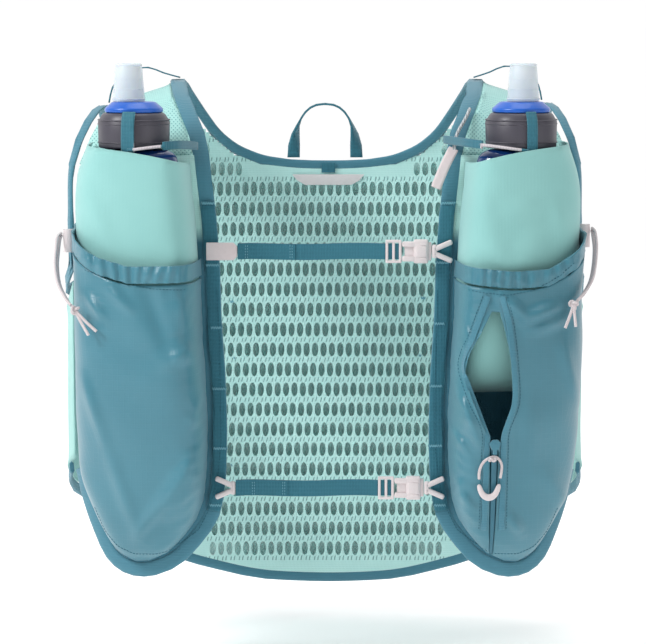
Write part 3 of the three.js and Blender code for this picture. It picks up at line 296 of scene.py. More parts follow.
# %% Colours of the cloth
MINT = srgb(172, 222, 216)
MINT_SHADE = srgb(122, 186, 184)
AQUA = srgb(146, 201, 197)
AQUA_SHADE = srgb(124, 182, 180)
NYLON = srgb(52, 114, 131)
NYLON_LIGHT = srgb(68, 130, 147)
BINDING = srgb(80, 142, 160)
BINDING_SHADE = srgb(58, 118, 138)
WEBBING = srgb(48, 124, 142)
WEBBING_SHADE = srgb(28, 96, 114)
PALE = srgb(221, 211, 212)
print("mint", [round(c, 3) for c in MINT[:3]])


# %% [markdown]
# Between its large holes the spacer mesh is knitted from fine strands, with rows of short slits. The large
# holes are open in the mesh further on. The slits are under a millimetre wide and more in number, so they
# are painted dark beside each hole, in pairs, as painted shade for the shade inside each opening. They are
# also pressed in with bump.


# %% Spacer mesh
TILE_WIDTH = 0.007154
TILE_HEIGHT = 0.01707


def spacer_finish(name, light, dark, slits=False):
    """Knitted strands between the large holes, with rows of short slits painted dark as shade."""
    finish = Finish(name, roughness=0.85, sheen=0.25)
    where, _ = finish.place()
    across, down = finish.chart()
    strand = across.wave(0.0012) * down.wave(0.0016)
    cloud = finish.noise(where, 60)
    tone = finish.blend((strand * 0.35 + cloud * 0.4).clamp(), light, dark)
    if slits:
        column = (across * (1 / TILE_WIDTH) + 0.5).math("FRACT") - 0.5
        row = (down * (1 / TILE_HEIGHT)).math("FRACT") - 0.5
        pair = (column.size() - 0.3).size() * TILE_WIDTH
        tall = row.size() * TILE_HEIGHT
        shaded_slit = pair.below(0.0004, 0.0004) * tall.below(0.0017, 0.0008)
        # Painted shade: the slits are painted dark for the shade that falls into each opening.
        tone = finish.blend(shaded_slit * 0.8, tone, srgb(92, 142, 144))
        strand = strand * 0.3 - shaded_slit
    finish.paint(tone)
    finish.bump(strand, 0.0006, 0.7)
    return finish.material


# %% [markdown]
# Through the holes the second face of the mesh shows: a fine net that slants both ways over a
# darker ground. It lies in shade and has no depth of its own, so two slanting repeats and a
# blend are enough.


# %% Fine net
def net_finish():
    """The second face of the mesh: a fine slanting net over a darker ground."""
    finish = Finish("fine_net", roughness=0.9, sheen=0.1)
    where, _ = finish.place()
    across, down = finish.chart()
    slant, pitch = 1.9, 0.0052
    one = (across * slant + down).repeat(pitch).size().below(0.09, 0.12)
    two = (across * slant - down).repeat(pitch).size().below(0.09, 0.12)
    net = (one + two).clamp()
    ground = finish.blend(finish.noise(where, 130, 4), srgb(140, 190, 190), srgb(206, 234, 230))
    finish.paint(finish.blend(net * 0.75, ground, srgb(238, 255, 252)))
    finish.bump(net, 0.0008, 0.8)
    return finish.material


# %% [markdown]
# Over the shoulders lies a closer mesh with small pores on a slant. The pores are smaller than a millimetre,
# too many to model, so each is a dark round spot of painted shade, for the shade inside the opening, with a
# hollow in the bump.


# %% Shoulder mesh
def shoulder_finish():
    """Fine mesh with a diagonal grain and small pores painted dark as shade."""
    finish = Finish("shoulder_mesh", roughness=0.85, sheen=0.2)
    where, _ = finish.place()
    across, down = finish.chart()
    pitch = 0.0031
    one = (across + down).repeat(pitch)
    two = (across - down).repeat(pitch)
    shaded_pore = (one * one + two * two).below(0.055, 0.05)
    cloud = finish.noise(where, 90)
    # Partly painted shade and partly tone: the pores are painted dark as shade in each opening, and the
    # cloud varies the tone at random.
    shade = (shaded_pore * 0.75 + cloud * 0.25).clamp()
    finish.paint(finish.blend(shade, MINT, srgb(104, 168, 170)))
    finish.bump(shaded_pore * -1, 0.0006, 0.8)
    return finish.material


# %% [markdown]
# The flask pockets are a fine stretch knit that looks smooth from afar. Its ribs and courses
# are crossed waves. They are kept faint, because under tension the yarns lie almost flat.


# %% Stretch knit
def knit_finish():
    """Fine stretch knit with faint ribs."""
    finish = Finish("stretch_knit", roughness=0.82, sheen=0.25)
    where, _ = finish.place()
    across, down = finish.chart()
    rib = across.wave(0.0011)
    course = down.wave(0.0008)
    cloud = finish.noise(where, 25)
    shade = (rib * course * 0.35 + cloud * 0.5).clamp()
    finish.paint(finish.blend(shade, AQUA, AQUA_SHADE))
    finish.bump(rib * course, 0.0002, 0.5)
    return finish.material


# %% [markdown]
# The cargo pockets are thin nylon with the small squares of a ripstop weave. Its gloss tells
# it from the knit, so the roughness is low and varies in clouds, as handled nylon does. Even
# gloss would look like plastic.


# %% Ripstop nylon
def nylon_finish():
    """Smooth shiny nylon with a faint ripstop grid."""
    finish = Finish("ripstop_nylon", sheen=0.15, specular=0.55)
    where, _ = finish.place()
    across, down = finish.chart()
    square = 0.0042
    grid = across.repeat(square).size().below(0.045, 0.06)
    grid = grid + down.repeat(square).size().below(0.045, 0.06)
    cloud = finish.noise(where, 14, 4)
    finish.paint(finish.blend((cloud * 1.1 - 0.1 + grid * 0.12).clamp(), NYLON, NYLON_LIGHT))
    finish.rough(cloud * 0.14 + 0.3)
    finish.bump(grid.clamp() * 0.5 + finish.noise(where, 120) * 0.8, 0.00022, 0.5)
    return finish.material


# %% [markdown]
# Bindings and webbing are tapes whose yarns run across them, with ribs along. Both are made
# by one function, and only the pitch, the ribs and the colours differ.


# %% Woven tape
def woven_finish(name, light, dark, pitch, rib, depth):
    """Tape whose yarns run across it."""
    finish = Finish(name, roughness=0.75, sheen=0.3)
    where, _ = finish.place()
    along, across = finish.chart()
    yarn = along.wave(pitch)
    ridge = across.wave(rib)
    cloud = finish.noise(where, 40)
    shade = (1 - yarn * (0.35 + ridge * 0.35)) * 0.6 + cloud * 0.35
    finish.paint(finish.blend(shade.clamp(), light, dark))
    finish.bump(yarn * 0.7 + ridge * 0.5, depth, 0.7)
    return finish.material


# %% [markdown]
# The mesh finishes are made here, each for its own cloth. The slits are asked for on the
# inside of the back alone, because the side panels are plain.

# %% Meshes of the body
spacer = spacer_finish("spacer_mesh", srgb(204, 244, 239), srgb(164, 218, 214), slits=True)
lining = net_finish()
side_mesh = spacer_finish("side_mesh", MINT, MINT_SHADE)
shoulder_mesh = shoulder_finish()
print("meshes made")


# %% [markdown]
# On the fronts mint mesh shows over the chest, and teal cloth lies under the pockets. Two
# panels with a seam could be modelled, but the seam is hidden by the pocket hem, so one
# finish changes colour at that height.


# %% Fronts
HEM_HEIGHT = -0.118


def front_finish():
    """The fronts: open mesh over the chest, bound in teal where the pockets are sewn on."""
    finish = Finish("front_mesh", roughness=0.8, sheen=0.2)
    where, (_, _, height) = finish.place()
    across, down = finish.chart()
    strand = across.wave(0.0012) * down.wave(0.0016)
    mesh_tone = finish.blend((strand * 0.5).clamp(), MINT, MINT_SHADE)
    sewn = height.below(HEM_HEIGHT, 0.012)
    finish.paint(finish.blend(sewn, mesh_tone, BINDING_SHADE))
    finish.bump(strand, 0.0004, 0.6)
    return finish.material


front_mesh = front_finish()
knit = knit_finish()
nylon = nylon_finish()
binding = woven_finish("woven_binding", BINDING, BINDING_SHADE, 0.0009, 0.0022, 0.0003)
webbing = woven_finish("ribbed_webbing", WEBBING, WEBBING_SHADE, 0.0012, 0.0031, 0.0004)
print("cloth finishes", len(bpy.data.materials))

# %% [markdown]
# ## Hard and glossy finishes
# Buckles, locks and lids are injection moulded: a satin skin with a very fine grain. A flat
# colour would look like a drawing, so a small speck of tone and bump is added. One function
# serves plastics, coated tape and film, which differ in colour, grain and coat.


# %% Moulded skin
def moulded(name, color, roughness, grain=900, coat=0.0):
    """A hard skin with a fine speck of tone and relief."""
    finish = Finish(name, roughness=roughness, coat=coat)
    where, _ = finish.place()
    speck = finish.noise(where, grain)
    tint = tuple(c * 0.9 for c in color[:3]) + (1,)
    finish.paint(finish.blend(speck, color, tint))
    finish.bump(speck, 0.0001, 0.35)
    return finish.material


# %% [markdown]
# Each hard part keeps the colour that the photograph shows: pale fittings, a charcoal lid, a
# bright blue valve and navy film. The film has the lowest roughness and a coat, because it is
# the glossiest.

# %% Moulded colours
pale_plastic = moulded("pale_moulding", PALE, 0.42)
pale_tape = moulded("pale_coated_tape", srgb(222, 209, 210), 0.6, 400)
label_cloth = moulded("bare_label", srgb(226, 221, 222), 0.5, 300)
charcoal = moulded("charcoal_lid", srgb(72, 70, 80), 0.38)
blue_plastic = moulded("blue_valve", srgb(4, 92, 196), 0.35, coat=0.2)
film = moulded("navy_film", srgb(14, 56, 118), 0.16, 40, coat=0.6)
print("hard finishes", pale_plastic.name, film.name)


# %% [markdown]
# The flask's cover is cloudy clear silicone. Glass with refraction would be slow and doesn't
# export well. Part of the light simply passes through, and the blue valve shows faintly.


# %% Frosted cover
def frosted_finish():
    """Cloudy clear silicone: most light passes, and the blue valve shows through."""
    finish = Finish("frosted_cover", roughness=0.35)
    where, _ = finish.place()
    cloud = finish.noise(where, 60)
    finish.paint(finish.blend(cloud, srgb(244, 248, 250), srgb(226, 234, 240)))
    finish.shader.inputs["Alpha"].default_value = 0.62
    finish.shader.inputs["Subsurface Weight"].default_value = 0.2
    return finish.material


frosted = frosted_finish()


# %% [markdown]
# A braided cord has two families of strands that cross at a slant. Modelled strands would
# cost thousands of faces for a cord of two millimetres. On a map of length and turn, two
# waves make the same pattern.


# %% Braid
def braid_finish(name, light, dark, turns):
    """Braided cord: two families of strands that cross at a slant."""
    finish = Finish(name, roughness=0.7, sheen=0.2)
    along, around = finish.chart()
    one = (along * turns + around).wave(0.5)
    two = (along * turns - around).wave(0.5)
    weave = one.math("MAXIMUM", two)
    finish.paint(finish.blend(1 - weave, light, dark))
    finish.bump(weave, 0.0003, 0.7)
    return finish.material


pale_cord = braid_finish("pale_cord", srgb(224, 214, 215), srgb(176, 164, 168), 420)
speckled_cord = braid_finish("speckled_cord", srgb(200, 206, 208), srgb(92, 104, 112), 260)
elastic = braid_finish("pale_elastic", srgb(216, 208, 212), srgb(168, 162, 170), 420)

# %% [markdown]
# The floor takes soft shadows and glows a little, so that it stays near white. The paper
# behind only glows.

# %% Floor and paper
floor_finish = Finish("floor", roughness=0.9)
floor_finish.shader.inputs["Emission Color"].default_value = (1, 1, 1, 1)
floor_finish.shader.inputs["Emission Strength"].default_value = 0.3
floor_place, _ = floor_finish.place()
floor_tone = floor_finish.noise(floor_place, 0.5)
floor_finish.paint(floor_finish.blend(floor_tone, (0.9, 0.9, 0.9, 1), (0.88, 0.88, 0.88, 1)))
floor.data.materials.append(floor_finish.material)
paper = Finish("white_paper", roughness=1)
paper.shader.inputs["Base Color"].default_value = (0, 0, 0, 1)
paper.shader.inputs["Emission Color"].default_value = (1, 1, 1, 1)
paper.shader.inputs["Emission Strength"].default_value = 1.0
backdrop.data.materials.append(paper.material)
print("finishes", len(bpy.data.materials))

# %% [markdown]
# ## The body that the cloth follows
# The vest keeps the form that it has when worn, so its cloth lies on a torso: a rounded box
# in plan that arches over the shoulders. The folds and the back mesh could be fitted by rays
# to the solids alone. The same few named sizes as in the solids give a smooth surface
# instead, with no facets in it.

# %% The body that the cloth follows
HALF_WIDTH = {"left": 0.213, "right": 0.205}
FRONT_DEPTH = 0.108
BACK_DEPTH = 0.102
CORNER_POWER = 3.4
SHOULDER_RISE = 0.09
SHOULDER_SLOPE = math.tan(math.radians(18))
SLOPE_START = 0.121
print("torso", sum(HALF_WIDTH.values()), "m wide")

# %% [markdown]
# ## Cloth from its solid
# A cloth piece starts as a copy of its solid, which has loose triangles. Remeshing it would
# round its outline off. So its corners are merged and its triangles joined to four-sided
# faces, which subdivide smoothly.


# %% A copy of a solid
def merged_copy(node, name):
    """A copy of a solid with shared corners and four-sided faces."""
    mesh = nodes[node].data.copy()
    mesh.name = name
    mesh.materials.clear()
    made = bmesh.new()
    made.from_mesh(mesh)
    bmesh.ops.remove_doubles(made, verts=made.verts, dist=2e-6)
    bmesh.ops.join_triangles(
        made, faces=made.faces, angle_face_threshold=0.6, angle_shape_threshold=2.2)
    made.to_mesh(mesh)
    made.free()
    piece = bpy.data.objects.new(name, mesh)
    scene.collection.objects.link(piece)
    return piece


# %% [markdown]
# Cut cloth has a sharp rim, and subdivision would shrink it. Extra edge loops could hold it,
# but creases do it without more faces: on the sharp edges, and on their corners, which would
# pull in otherwise.


# %% Rims
def crease_rims(piece, angle, amount=1.0):
    """Keeps the sharp edges of a wall where they are."""
    made = bmesh.new()
    made.from_mesh(piece.data)
    lines = made.edges.layers.float.new("crease_edge")
    corners = made.verts.layers.float.new("crease_vert")
    for edge in made.edges:
        if len(edge.link_faces) == 2 and edge.calc_face_angle(0) > angle:
            edge[lines] = amount
            for vertex in edge.verts:
                vertex[corners] = amount
    made.to_mesh(piece.data)
    made.free()


# %% [markdown]
# Stitches and the zip tapes are seated by rays. A ray needs a tree of faces, and the solids are hidden once
# they are replaced, so the tree is built from the meshes themselves.


# %% Rays
def tree_of(*pieces):
    """A tree of the faces of all pieces, for rays."""
    corners, sides = [], []
    for piece in pieces:
        start = len(corners)
        corners += [v.co.copy() for v in piece.data.vertices]
        sides += [[start + i for i in p.vertices] for p in piece.data.polygons]
    return BVHTree.FromPolygons(corners, sides)


# %% [markdown]
# Subdivision, walls and rounded edges are modifiers. They are applied at once, so that what
# comes later moves the real points of the cloth.


# %% Modifiers
def activate(piece):
    """Makes a piece the only one that an operator acts on."""
    bpy.ops.object.select_all(action="DESELECT")
    piece.select_set(True)
    bpy.context.view_layer.objects.active = piece


def apply_modifiers(piece):
    """Applies the modifiers of a piece in their order."""
    activate(piece)
    for modifier in list(piece.modifiers):
        bpy.ops.object.modifier_apply(modifier=modifier.name)


def subdivide(piece, levels):
    """Rounds a piece by subdivision. Creases stay."""
    modifier = piece.modifiers.new("smooth", "SUBSURF")
    modifier.levels = levels
    modifier.render_levels = levels
    apply_modifiers(piece)


def shade_smooth(piece, angle=50):
    """Smooth shading, with edges sharper than an angle kept."""
    activate(piece)
    bpy.ops.object.shade_smooth_by_angle(angle=math.radians(angle))


# %% [markdown]
# A weave needs a map in metres. Unwrapping each piece would give islands that lie at random
# turns. The panels face one way each, so the map is simply laid on from the front, the side
# or above, and the yarns run straight down.


# %% Map of the cloth
def lay_map(piece):
    """Lays a map over the cloth in metres: along the width, and down it."""
    mesh = piece.data
    uv = mesh.uv_layers.get("cloth") or mesh.uv_layers.new(name="cloth")
    for polygon in mesh.polygons:
        n = polygon.normal
        for loop in polygon.loop_indices:
            p = mesh.vertices[mesh.loops[loop].vertex_index].co
            if abs(n.z) > 0.8:
                uv.data[loop].uv = (p.x, p.y)
            elif abs(n.x) > abs(n.y):
                uv.data[loop].uv = (p.y, p.z)
            else:
                uv.data[loop].uv = (p.x, p.z)


# %% [markdown]
# A finished piece gets its material and rides on the body of the vest. Where it stands for a solid, it
# replaces it.


# %% Dressing a piece
def dress(piece, material, slot, *replaced):
    """Gives a finished piece its material and a place on the body. The slot is not used."""
    piece.data.materials.clear()
    piece.data.materials.append(material)
    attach(piece, "root")
    if replaced:
        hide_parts(*replaced)


# %% [markdown]
# Folds move both faces of the cloth alike. Each point is moved by what a function gives for
# its place, and not along its own normal, or the wall would grow thick on one side of a fold
# and thin on the other.


# %% Moving folds in
def fold_in(piece, move):
    """Moves each point of the cloth by what a function gives for its place."""
    for vertex in piece.data.vertices:
        vertex.co += move(vertex.co)
    piece.data.update()


# %% [markdown]
# ## Folds
# Nylon that is stretched over a flask folds along lines, mostly at a slant from a corner. A
# cloth simulation would find its own folds, and not those of the photograph. So each row of a
# table is one fold: from one place to another on the front, its width and its depth in
# millimetres. A groove has a negative depth.

# %% Tables of folds
LEFT_POCKET_FOLDS = [
    # x from, z from, x to, z to, width, depth
    (-86.0, -214, -107, -262, 5, 2.6), (-137, -156, -125, -198, 7, -1.6),
    (-121, -208, -92, -199, 8, 3.4), (-90, -268, -148, -352, 7, 3.0),
    (-89, -284, -124, -334, 6, 2.2), (-190, -224, -174, -273, 5, 1.8),
    (-174, -273, -150, -345, 6, 1.4), (-186, -160, -172, -178, 4, 1.8),
    (-167, -155, -152, -170, 4, 1.6), (-112, -158, -108, -186, 6, 1.8),
    (-128, -330, -146, -356, 5, -1.4), (-88, -232, -98, -242, 3, 1.8),
    (-88, -246, -101, -259, 3, 1.8), (-89, -300, -104, -318, 4, 1.8),
]
RIGHT_POCKET_FOLDS = [
    (132, -160, 149, -176, 5, 3.0), (149, -176, 172, -168, 5, 3.4), (153, -187, 179, -177, 5, 2.4),
    (88, -216, 115, -275, 5, 3.0), (85, -250, 113, -284, 4, -1.6), (87, -264, 104, -276, 4, 2.4),
    (86, -292, 112, -336, 6, 2.6), (177, -194, 192, -246, 5, 1.8), (137, -332, 149, -349, 5, 2.2),
    (96, -166, 104, -196, 5, 2.2), (84, -228, 94, -236, 3, 1.8), (150, -230, 156, -300, 9, 1.2),
    (168, -300, 186, -330, 7, 1.4), (96, -345, 118, -368, 5, 1.6),
]
KNIT_FOLDS = {
    "left": [(-186, -84, -168, -118, 7, 1.5), (-104, -120, -126, -146, 8, 1.2)],
    "right": [
        (118, -120, 140, -142, 9, 1.8), (140, -142, 160, -116, 9, 1.6), (132, -96, 160, -92, 7, 1.4),
        (108, -80, 122, -100, 7, 1.4), (172, -90, 182, -120, 7, 1.4),
    ],
}
MM = 0.001
FOLD_STRENGTH = 2.3
print("folds", len(LEFT_POCKET_FOLDS), len(RIGHT_POCKET_FOLDS))


# %% [markdown]
# A fold rises away from the body. The normals of a thin wall point both ways, so the way out
# is taken from the slope of the torso's rounded box.


# %% The way out
def out_of_torso(point):
    """Way out of the torso at a place, from the slope of its rounded box."""
    width = HALF_WIDTH["left" if point.x < 0 else "right"]
    depth = FRONT_DEPTH if point.y < 0 else BACK_DEPTH
    power = CORNER_POWER - 1
    x = math.copysign(abs(point.x / width) ** power / width, point.x)
    y = math.copysign(abs(point.y / depth) ** power / depth, point.y)
    return Vector((x, y, 0)).normalized()


# %% [markdown]
# Each fold is a soft ridge: highest along its line, lower towards its ends. Between the folds
# cloth is never quite flat, so a slow noise is added.


# %% Rise of the folds
def folded(rows, slack=0.0, grain=0.05, pucker=None):
    """A function that gives the move of any point of the cloth."""
    lines = [
        (Vector((x0, z0)) * MM, Vector((x1 - x0, z1 - z0)) * MM, width * MM, depth * MM)
        for x0, z0, x1, z1, width, depth in rows
    ]

    def move(point):
        flat = Vector((point.x, point.z))
        rise = slack * noise.noise(point / grain)
        for start, run, width, depth in lines:
            share = min(1, max(0, (flat - start).dot(run) / run.length_squared))
            gap = (flat - start - run * share).length / width
            if gap < 3:
                fade = math.sin(math.pi * (0.12 + 0.76 * share))
                rise += FOLD_STRENGTH * depth * fade * math.exp(-gap * gap)
        if pucker:
            rise += pucker(point)
        return out_of_torso(point) * rise

    return move


# %% [markdown]
# Where cloth is gathered on a drawcord or sewn to an edge it puckers: short creases that
# start at the seam and fade. Modelling each by hand would take long and look regular. A wave
# whose phase is stirred by noise gives many, each a little different.

# %% Puckers
MOUTH_HEIGHT = -0.138
CREASE_PITCH = 0.017
CREASE_DEPTH = 0.0011
CREASE_FADE = 0.016


def along_mouth(point):
    """Rough distance along the mouth of a pocket, which curves back at its sides."""
    return abs(point.x) + 0.35 * abs(point.y)


def mouth_pucker(point):
    """Short creases that run down from the gathered mouth and fade out."""
    drop = max(0, MOUTH_HEIGHT - point.z)
    stir = 6 * noise.noise(Vector((point.x, 0, 0)) * 40)
    wave = math.sin(2 * math.pi * along_mouth(point) / CREASE_PITCH + stir)
    return CREASE_DEPTH * wave * math.exp(-drop / CREASE_FADE)


def edge_pucker(edge_x, reach, depth, pitch):
    """Short gathers that start at a sewn edge, with those of the mouth."""
    def rise(point):
        gap = abs(abs(point.x) - edge_x(point.z))
        wave = math.sin(2 * math.pi * (point.z + 0.4 * gap) / pitch + 5 * noise.noise(point * 45))
        return depth * wave * math.exp(-gap / reach) + mouth_pucker(point)
    return rise


def inner_edge(z):
    """Half distance between the inner edges of the cargo pockets."""
    return 0.096 - 0.008 * math.sin(math.pi * min(1, max(0, (-z - 0.14) / 0.2)))


# %% [markdown]
# ## Sewn panels
# The vest is sewn from flat cut panels. Each could be cut flat and draped, but then it would
# miss its place between its neighbours. So each is the solid, subdivided and folded, and its
# flat cut is stated: the size of the piece of cloth that a maker would cut, and the share of
# it that is used. The area found is printed beside the area stated.


# %% One panel
def panel(node, material, slot, flat, share, levels=2, move=None, tuck=None):
    """A panel from its solid: subdivided, tucked, folded and dressed."""
    piece = merged_copy(node, node + "_cloth")
    crease_rims(piece, math.radians(55))
    subdivide(piece, levels)
    if tuck:
        middle = sum((v.co for v in piece.data.vertices), Vector()) / len(piece.data.vertices)
        for vertex in piece.data.vertices:
            vertex.co.x = middle.x + (vertex.co.x - middle.x) * tuck[0]
            vertex.co.z = middle.z + (vertex.co.z - middle.z) * tuck[1]
    if move:
        fold_in(piece, move)
    lay_map(piece)
    shade_smooth(piece, 60)
    dress(piece, material, slot, node)
    area = flat[0] * flat[1] * share
    found = sum(p.area for p in piece.data.polygons) / 2
    print(f"{piece.name:28s} {len(piece.data.polygons):6d} faces, {found:.4f} m2 for {area:.4f}")
    return piece


# %% [markdown]
# The knit over the flasks has a few soft folds, the nylon below has many. Left and right have
# their own folds, because no two pockets of one vest crumple alike.

# %% Folds of each pocket
cloth = {}
knit_folds = {side: folded(rows, 0.0006) for side, rows in KNIT_FOLDS.items()}
cargo_folds = {
    side: folded(rows, 0.0022, 0.034, edge_pucker(inner_edge, 0.012, 0.0017, pitch))
    for side, rows, pitch in (
        ("left", LEFT_POCKET_FOLDS, 0.0125), ("right", RIGHT_POCKET_FOLDS, 0.0115),
    )
}
slight = folded([], 0.0006, 0.04)
print("folded pockets", sorted(cargo_folds))


# %% [markdown]
# Round the mouth of each cargo pocket runs a casing that the drawcord gathers. Its folds are
# upright, close together and deepest near the cord lock. A wave along the mouth, stirred a
# little, gives them.


# %% Gathers of the hem
GATHER_PITCH = 0.0085


def gather_rise(point):
    """Vertical gathers round a pocket mouth, close together towards the drawcord."""
    wave = math.sin(2 * math.pi * along_mouth(point) / GATHER_PITCH + 4 * noise.noise(point * 30))
    return 0.0011 * wave * (0.5 + 0.5 * min(1, max(0, (abs(point.x) - 0.1) / 0.06)))


gathers = folded([], 0.0009, 0.007, gather_rise)

# %% [markdown]
# These pieces come in pairs. A mirrored copy would be quicker, but the two sides of a worn
# vest differ, so each is made from its own solid. The front panels are tucked outwards a
# little, under the binding that is sewn round them.

# %% Panels of both sides
for side in ("left", "right"):
    for node, material, slot, flat, share, levels, move in (
        ("yoke", shoulder_mesh, "mint_mesh", (0.1, 0.17), 0.72, 2, slight),
        ("front_panel", front_mesh, "mint_mesh", (0.105, 0.36), 0.85, 1, None),
        ("side_panel", side_mesh, "mint_mesh", (0.12, 0.24), 0.91, 2, slight),
        ("flask_pocket", knit, "aqua_knit", (0.21, 0.2), 0.96, 2, knit_folds[side]),
        ("cargo_pocket", nylon, "teal_nylon", (0.2, 0.25), 0.87, 3, cargo_folds[side]),
        ("cargo_hem", nylon, "teal_nylon", (0.27, 0.014), 0.88, 3, gathers),
        ("edge_binding", binding, "steel_teal_binding", (0.0125, 0.75), 0.75, 2, None),
        ("armhole_binding", binding, "steel_teal_binding", (0.01, 0.36), 0.9, 2, None),
        ("daisy_webbing", webbing, "deep_teal_webbing", (0.01, 0.26), 0.85, 1, None),
        ("shoulder_loop", webbing, "deep_teal_webbing", (0.01, 0.12), 0.6, 2, None),
    ):
        name = f"{node}_{side}"
        tuck = (1.028, 1.009) if node == "front_panel" else None
        cloth[name] = panel(name, material, slot, flat, share, levels, move, tuck)

# %% [markdown]
# The layer behind the mesh and the tapes at the neck and the lower hem cross the middle of
# the vest, so there is one of each.

# %% Panels of the back
for node, material, slot, flat, share, levels, move in (
    ("back_outer_layer", lining, "mint_mesh", (0.35, 0.38), 0.9, 2, slight),
    ("neck_binding", binding, "steel_teal_binding", (0.0125, 0.34), 0.8, 2, None),
    ("back_hem_binding", binding, "steel_teal_binding", (0.0125, 0.64), 0.8, 2, None),
    ("hang_loop", webbing, "deep_teal_webbing", (0.0105, 0.14), 0.9, 2, None),
):
    cloth[node] = panel(node, material, slot, flat, share, levels, move)
print("panels", len(cloth))

# %% [markdown]
# ## Open spacer mesh
# The inside of the back is a knitted spacer mesh: upright oval holes in slanting columns. The
# holes could be painted with transparency, but they have depth, and one sees the net behind
# them shift. Cutting 900 holes with booleans would be slow and untidy. So the sheet is built
# from tiles, each a ring of four-sided faces round its hole.

# %% Sizes of the mesh
MESH_WALL = 0.0022
TILE_SLANT = -0.0016
FIRST_HOLE = (-0.0994, -0.0944)
HOLE_HALF = (0.00262, 0.0061)
ACROSS_STEPS = 4
DOWN_STEPS = 6
UNDER_BINDING = 0.0048
HALF_HIDDEN = 0.0035
SIDE_SEAM = 0.145
ROWS = range(-4, 21)
COLUMNS = range(-22, 46)
MESH_REACH = 0.185
MESH_LOW, MESH_HIGH = -0.435, -0.03
print("tiles tried", len(ROWS) * len(COLUMNS))


# %% [markdown]
# The tiles are laid out flat and then carried to the back of the torso. Wrapping them with a
# modifier would pull the holes out of shape near the sides. The torso's own formula keeps
# them upright.


# %% Surface of the back
def back_surface(x, z):
    """Place of the back's outer face, arched above the foot of the shoulders."""
    width = HALF_WIDTH["left" if x < 0 else "right"]
    y = BACK_DEPTH * (1 - min(1, abs(x) / width) ** CORNER_POWER) ** (1 / CORNER_POWER)
    if z > -SHOULDER_RISE:
        ridge = SHOULDER_SLOPE * max(0, abs(x) - SLOPE_START)
        climb = min(0.999, (z + SHOULDER_RISE) / (SHOULDER_RISE - ridge))
        y *= math.sqrt(1 - climb * climb)
    return Vector((x, y, z))


# %% [markdown]
# A tile is whole, cut by the outline or outside it. The layer behind has the outline of the
# back, so a ray from inside the vest tells. A margin lets the sheet run on under its
# bindings, as the real one is sewn.


# %% Inside the outline
back_solid = tree_of(nodes["back_outer_layer"])
solid_cover = {}


def in_back(x, z, margin=0.0):
    """Whether the layer behind the panel, which has its outline, lies there or near."""
    steps = [(0, 0)]
    if margin:
        steps += [(margin, 0), (-margin, 0), (0, margin), (0, -margin)]
    for dx, dz in steps:
        if back_solid.ray_cast(Vector((x + dx, 0, z + dz)), Vector((0, 1, 0)))[0]:
            return True
    return False


def filled(x, z, margin):
    """in_back, remembered for places that tiles share."""
    key = (round(x * 1e5), round(z * 1e5), margin)
    if key not in solid_cover:
        solid_cover[key] = in_back(x, z, margin)
    return solid_cover[key]


# %% [markdown]
# Rows of holes shift sideways as they go down, so a tile's place is its column and its row
# with a slant. Its border has twenty places in order, and its neighbours share them.


# %% Places of a tile
def tile_point(column, row, u, v):
    """Place on the flat sheet, u and v being shares of a tile."""
    x = FIRST_HOLE[0] + TILE_WIDTH * (column + u) + TILE_SLANT * (row + v)
    z = FIRST_HOLE[1] - TILE_HEIGHT * (row + v)
    return x, z


def tile_border():
    """The twenty places round a tile, in order."""
    run = [(-0.5 + i / ACROSS_STEPS, -0.5) for i in range(ACROSS_STEPS)]
    run += [(0.5, -0.5 + i / DOWN_STEPS) for i in range(DOWN_STEPS)]
    run += [(0.5 - i / ACROSS_STEPS, 0.5) for i in range(ACROSS_STEPS)]
    return run + [(-0.5, 0.5 - i / DOWN_STEPS) for i in range(DOWN_STEPS)]


# %% [markdown]
# A whole tile is a ring of faces between its border and an oval. A tile that the outline cuts
# has no hole and is filled with small squares, as far as the outline lets them. Corners are
# shared, so the sheet is one piece.

# %% Tiles
points = {}
faces = []
cells = []
border = tile_border()


def corner(x, z, u, v):
    """Number of a corner, new or shared."""
    key = (round(x * 1e6), round(z * 1e6))
    if key not in points:
        points[key] = len(points)
        cells.append((x, z, u, v))
    return points[key]


# %% [markdown]
# The ring round a hole joins each place of the border to one on the oval. The ovals differ
# slightly in size, because a knitting machine isn't exact, and even holes look printed.


# %% A tile with a hole
def holed_tile(column, row, rim):
    """A ring of faces round one oval hole, a little larger or smaller than the next."""
    centre = tile_point(column, row, 0, 0)
    size = 1 + 0.06 * noise.noise(Vector((column * 0.7, row * 0.9, 3)))
    inner = []
    for u, v in border:
        angle = math.atan2(v, u)
        x = centre[0] + HOLE_HALF[0] * size * math.cos(angle) * 1.02
        z = centre[1] - HOLE_HALF[1] * size * math.sin(angle)
        inner.append(corner(x, z, column + u * 0.6, row + v * 0.6))
    outer = [corner(x, z, column + u, row + v) for (x, z), (u, v) in zip(rim, border)]
    for k in range(len(border)):
        n = (k + 1) % len(border)
        faces.append((outer[k], outer[n], inner[n], inner[k]))


# %% [markdown]
# At the outline the mesh would end in half holes. The real one is closed there by its seam,
# and small squares follow the edge closely enough to be hidden by the binding.


# %% A tile at the outline
def cut_tile(column, row):
    """Small squares that fill a tile as far as the outline lets them."""
    for i in range(ACROSS_STEPS):
        for j in range(DOWN_STEPS):
            u = [-0.5 + (i + a) / ACROSS_STEPS for a in (0, 1)]
            v = [-0.5 + (j + a) / DOWN_STEPS for a in (0, 1)]
            middle = tile_point(column, row, sum(u) / 2, sum(v) / 2)
            if filled(*middle, UNDER_BINDING if abs(middle[0]) < SIDE_SEAM else 0.0):
                loop = [(u[0], v[0]), (u[1], v[0]), (u[1], v[1]), (u[0], v[1])]
                faces.append(tuple(
                    corner(*tile_point(column, row, a, b), column + a, row + b) for a, b in loop))


# %% [markdown]
# Now all tiles are tried, row by row. Those that lie outside the back are passed over at
# once, and the rest are whole or cut.

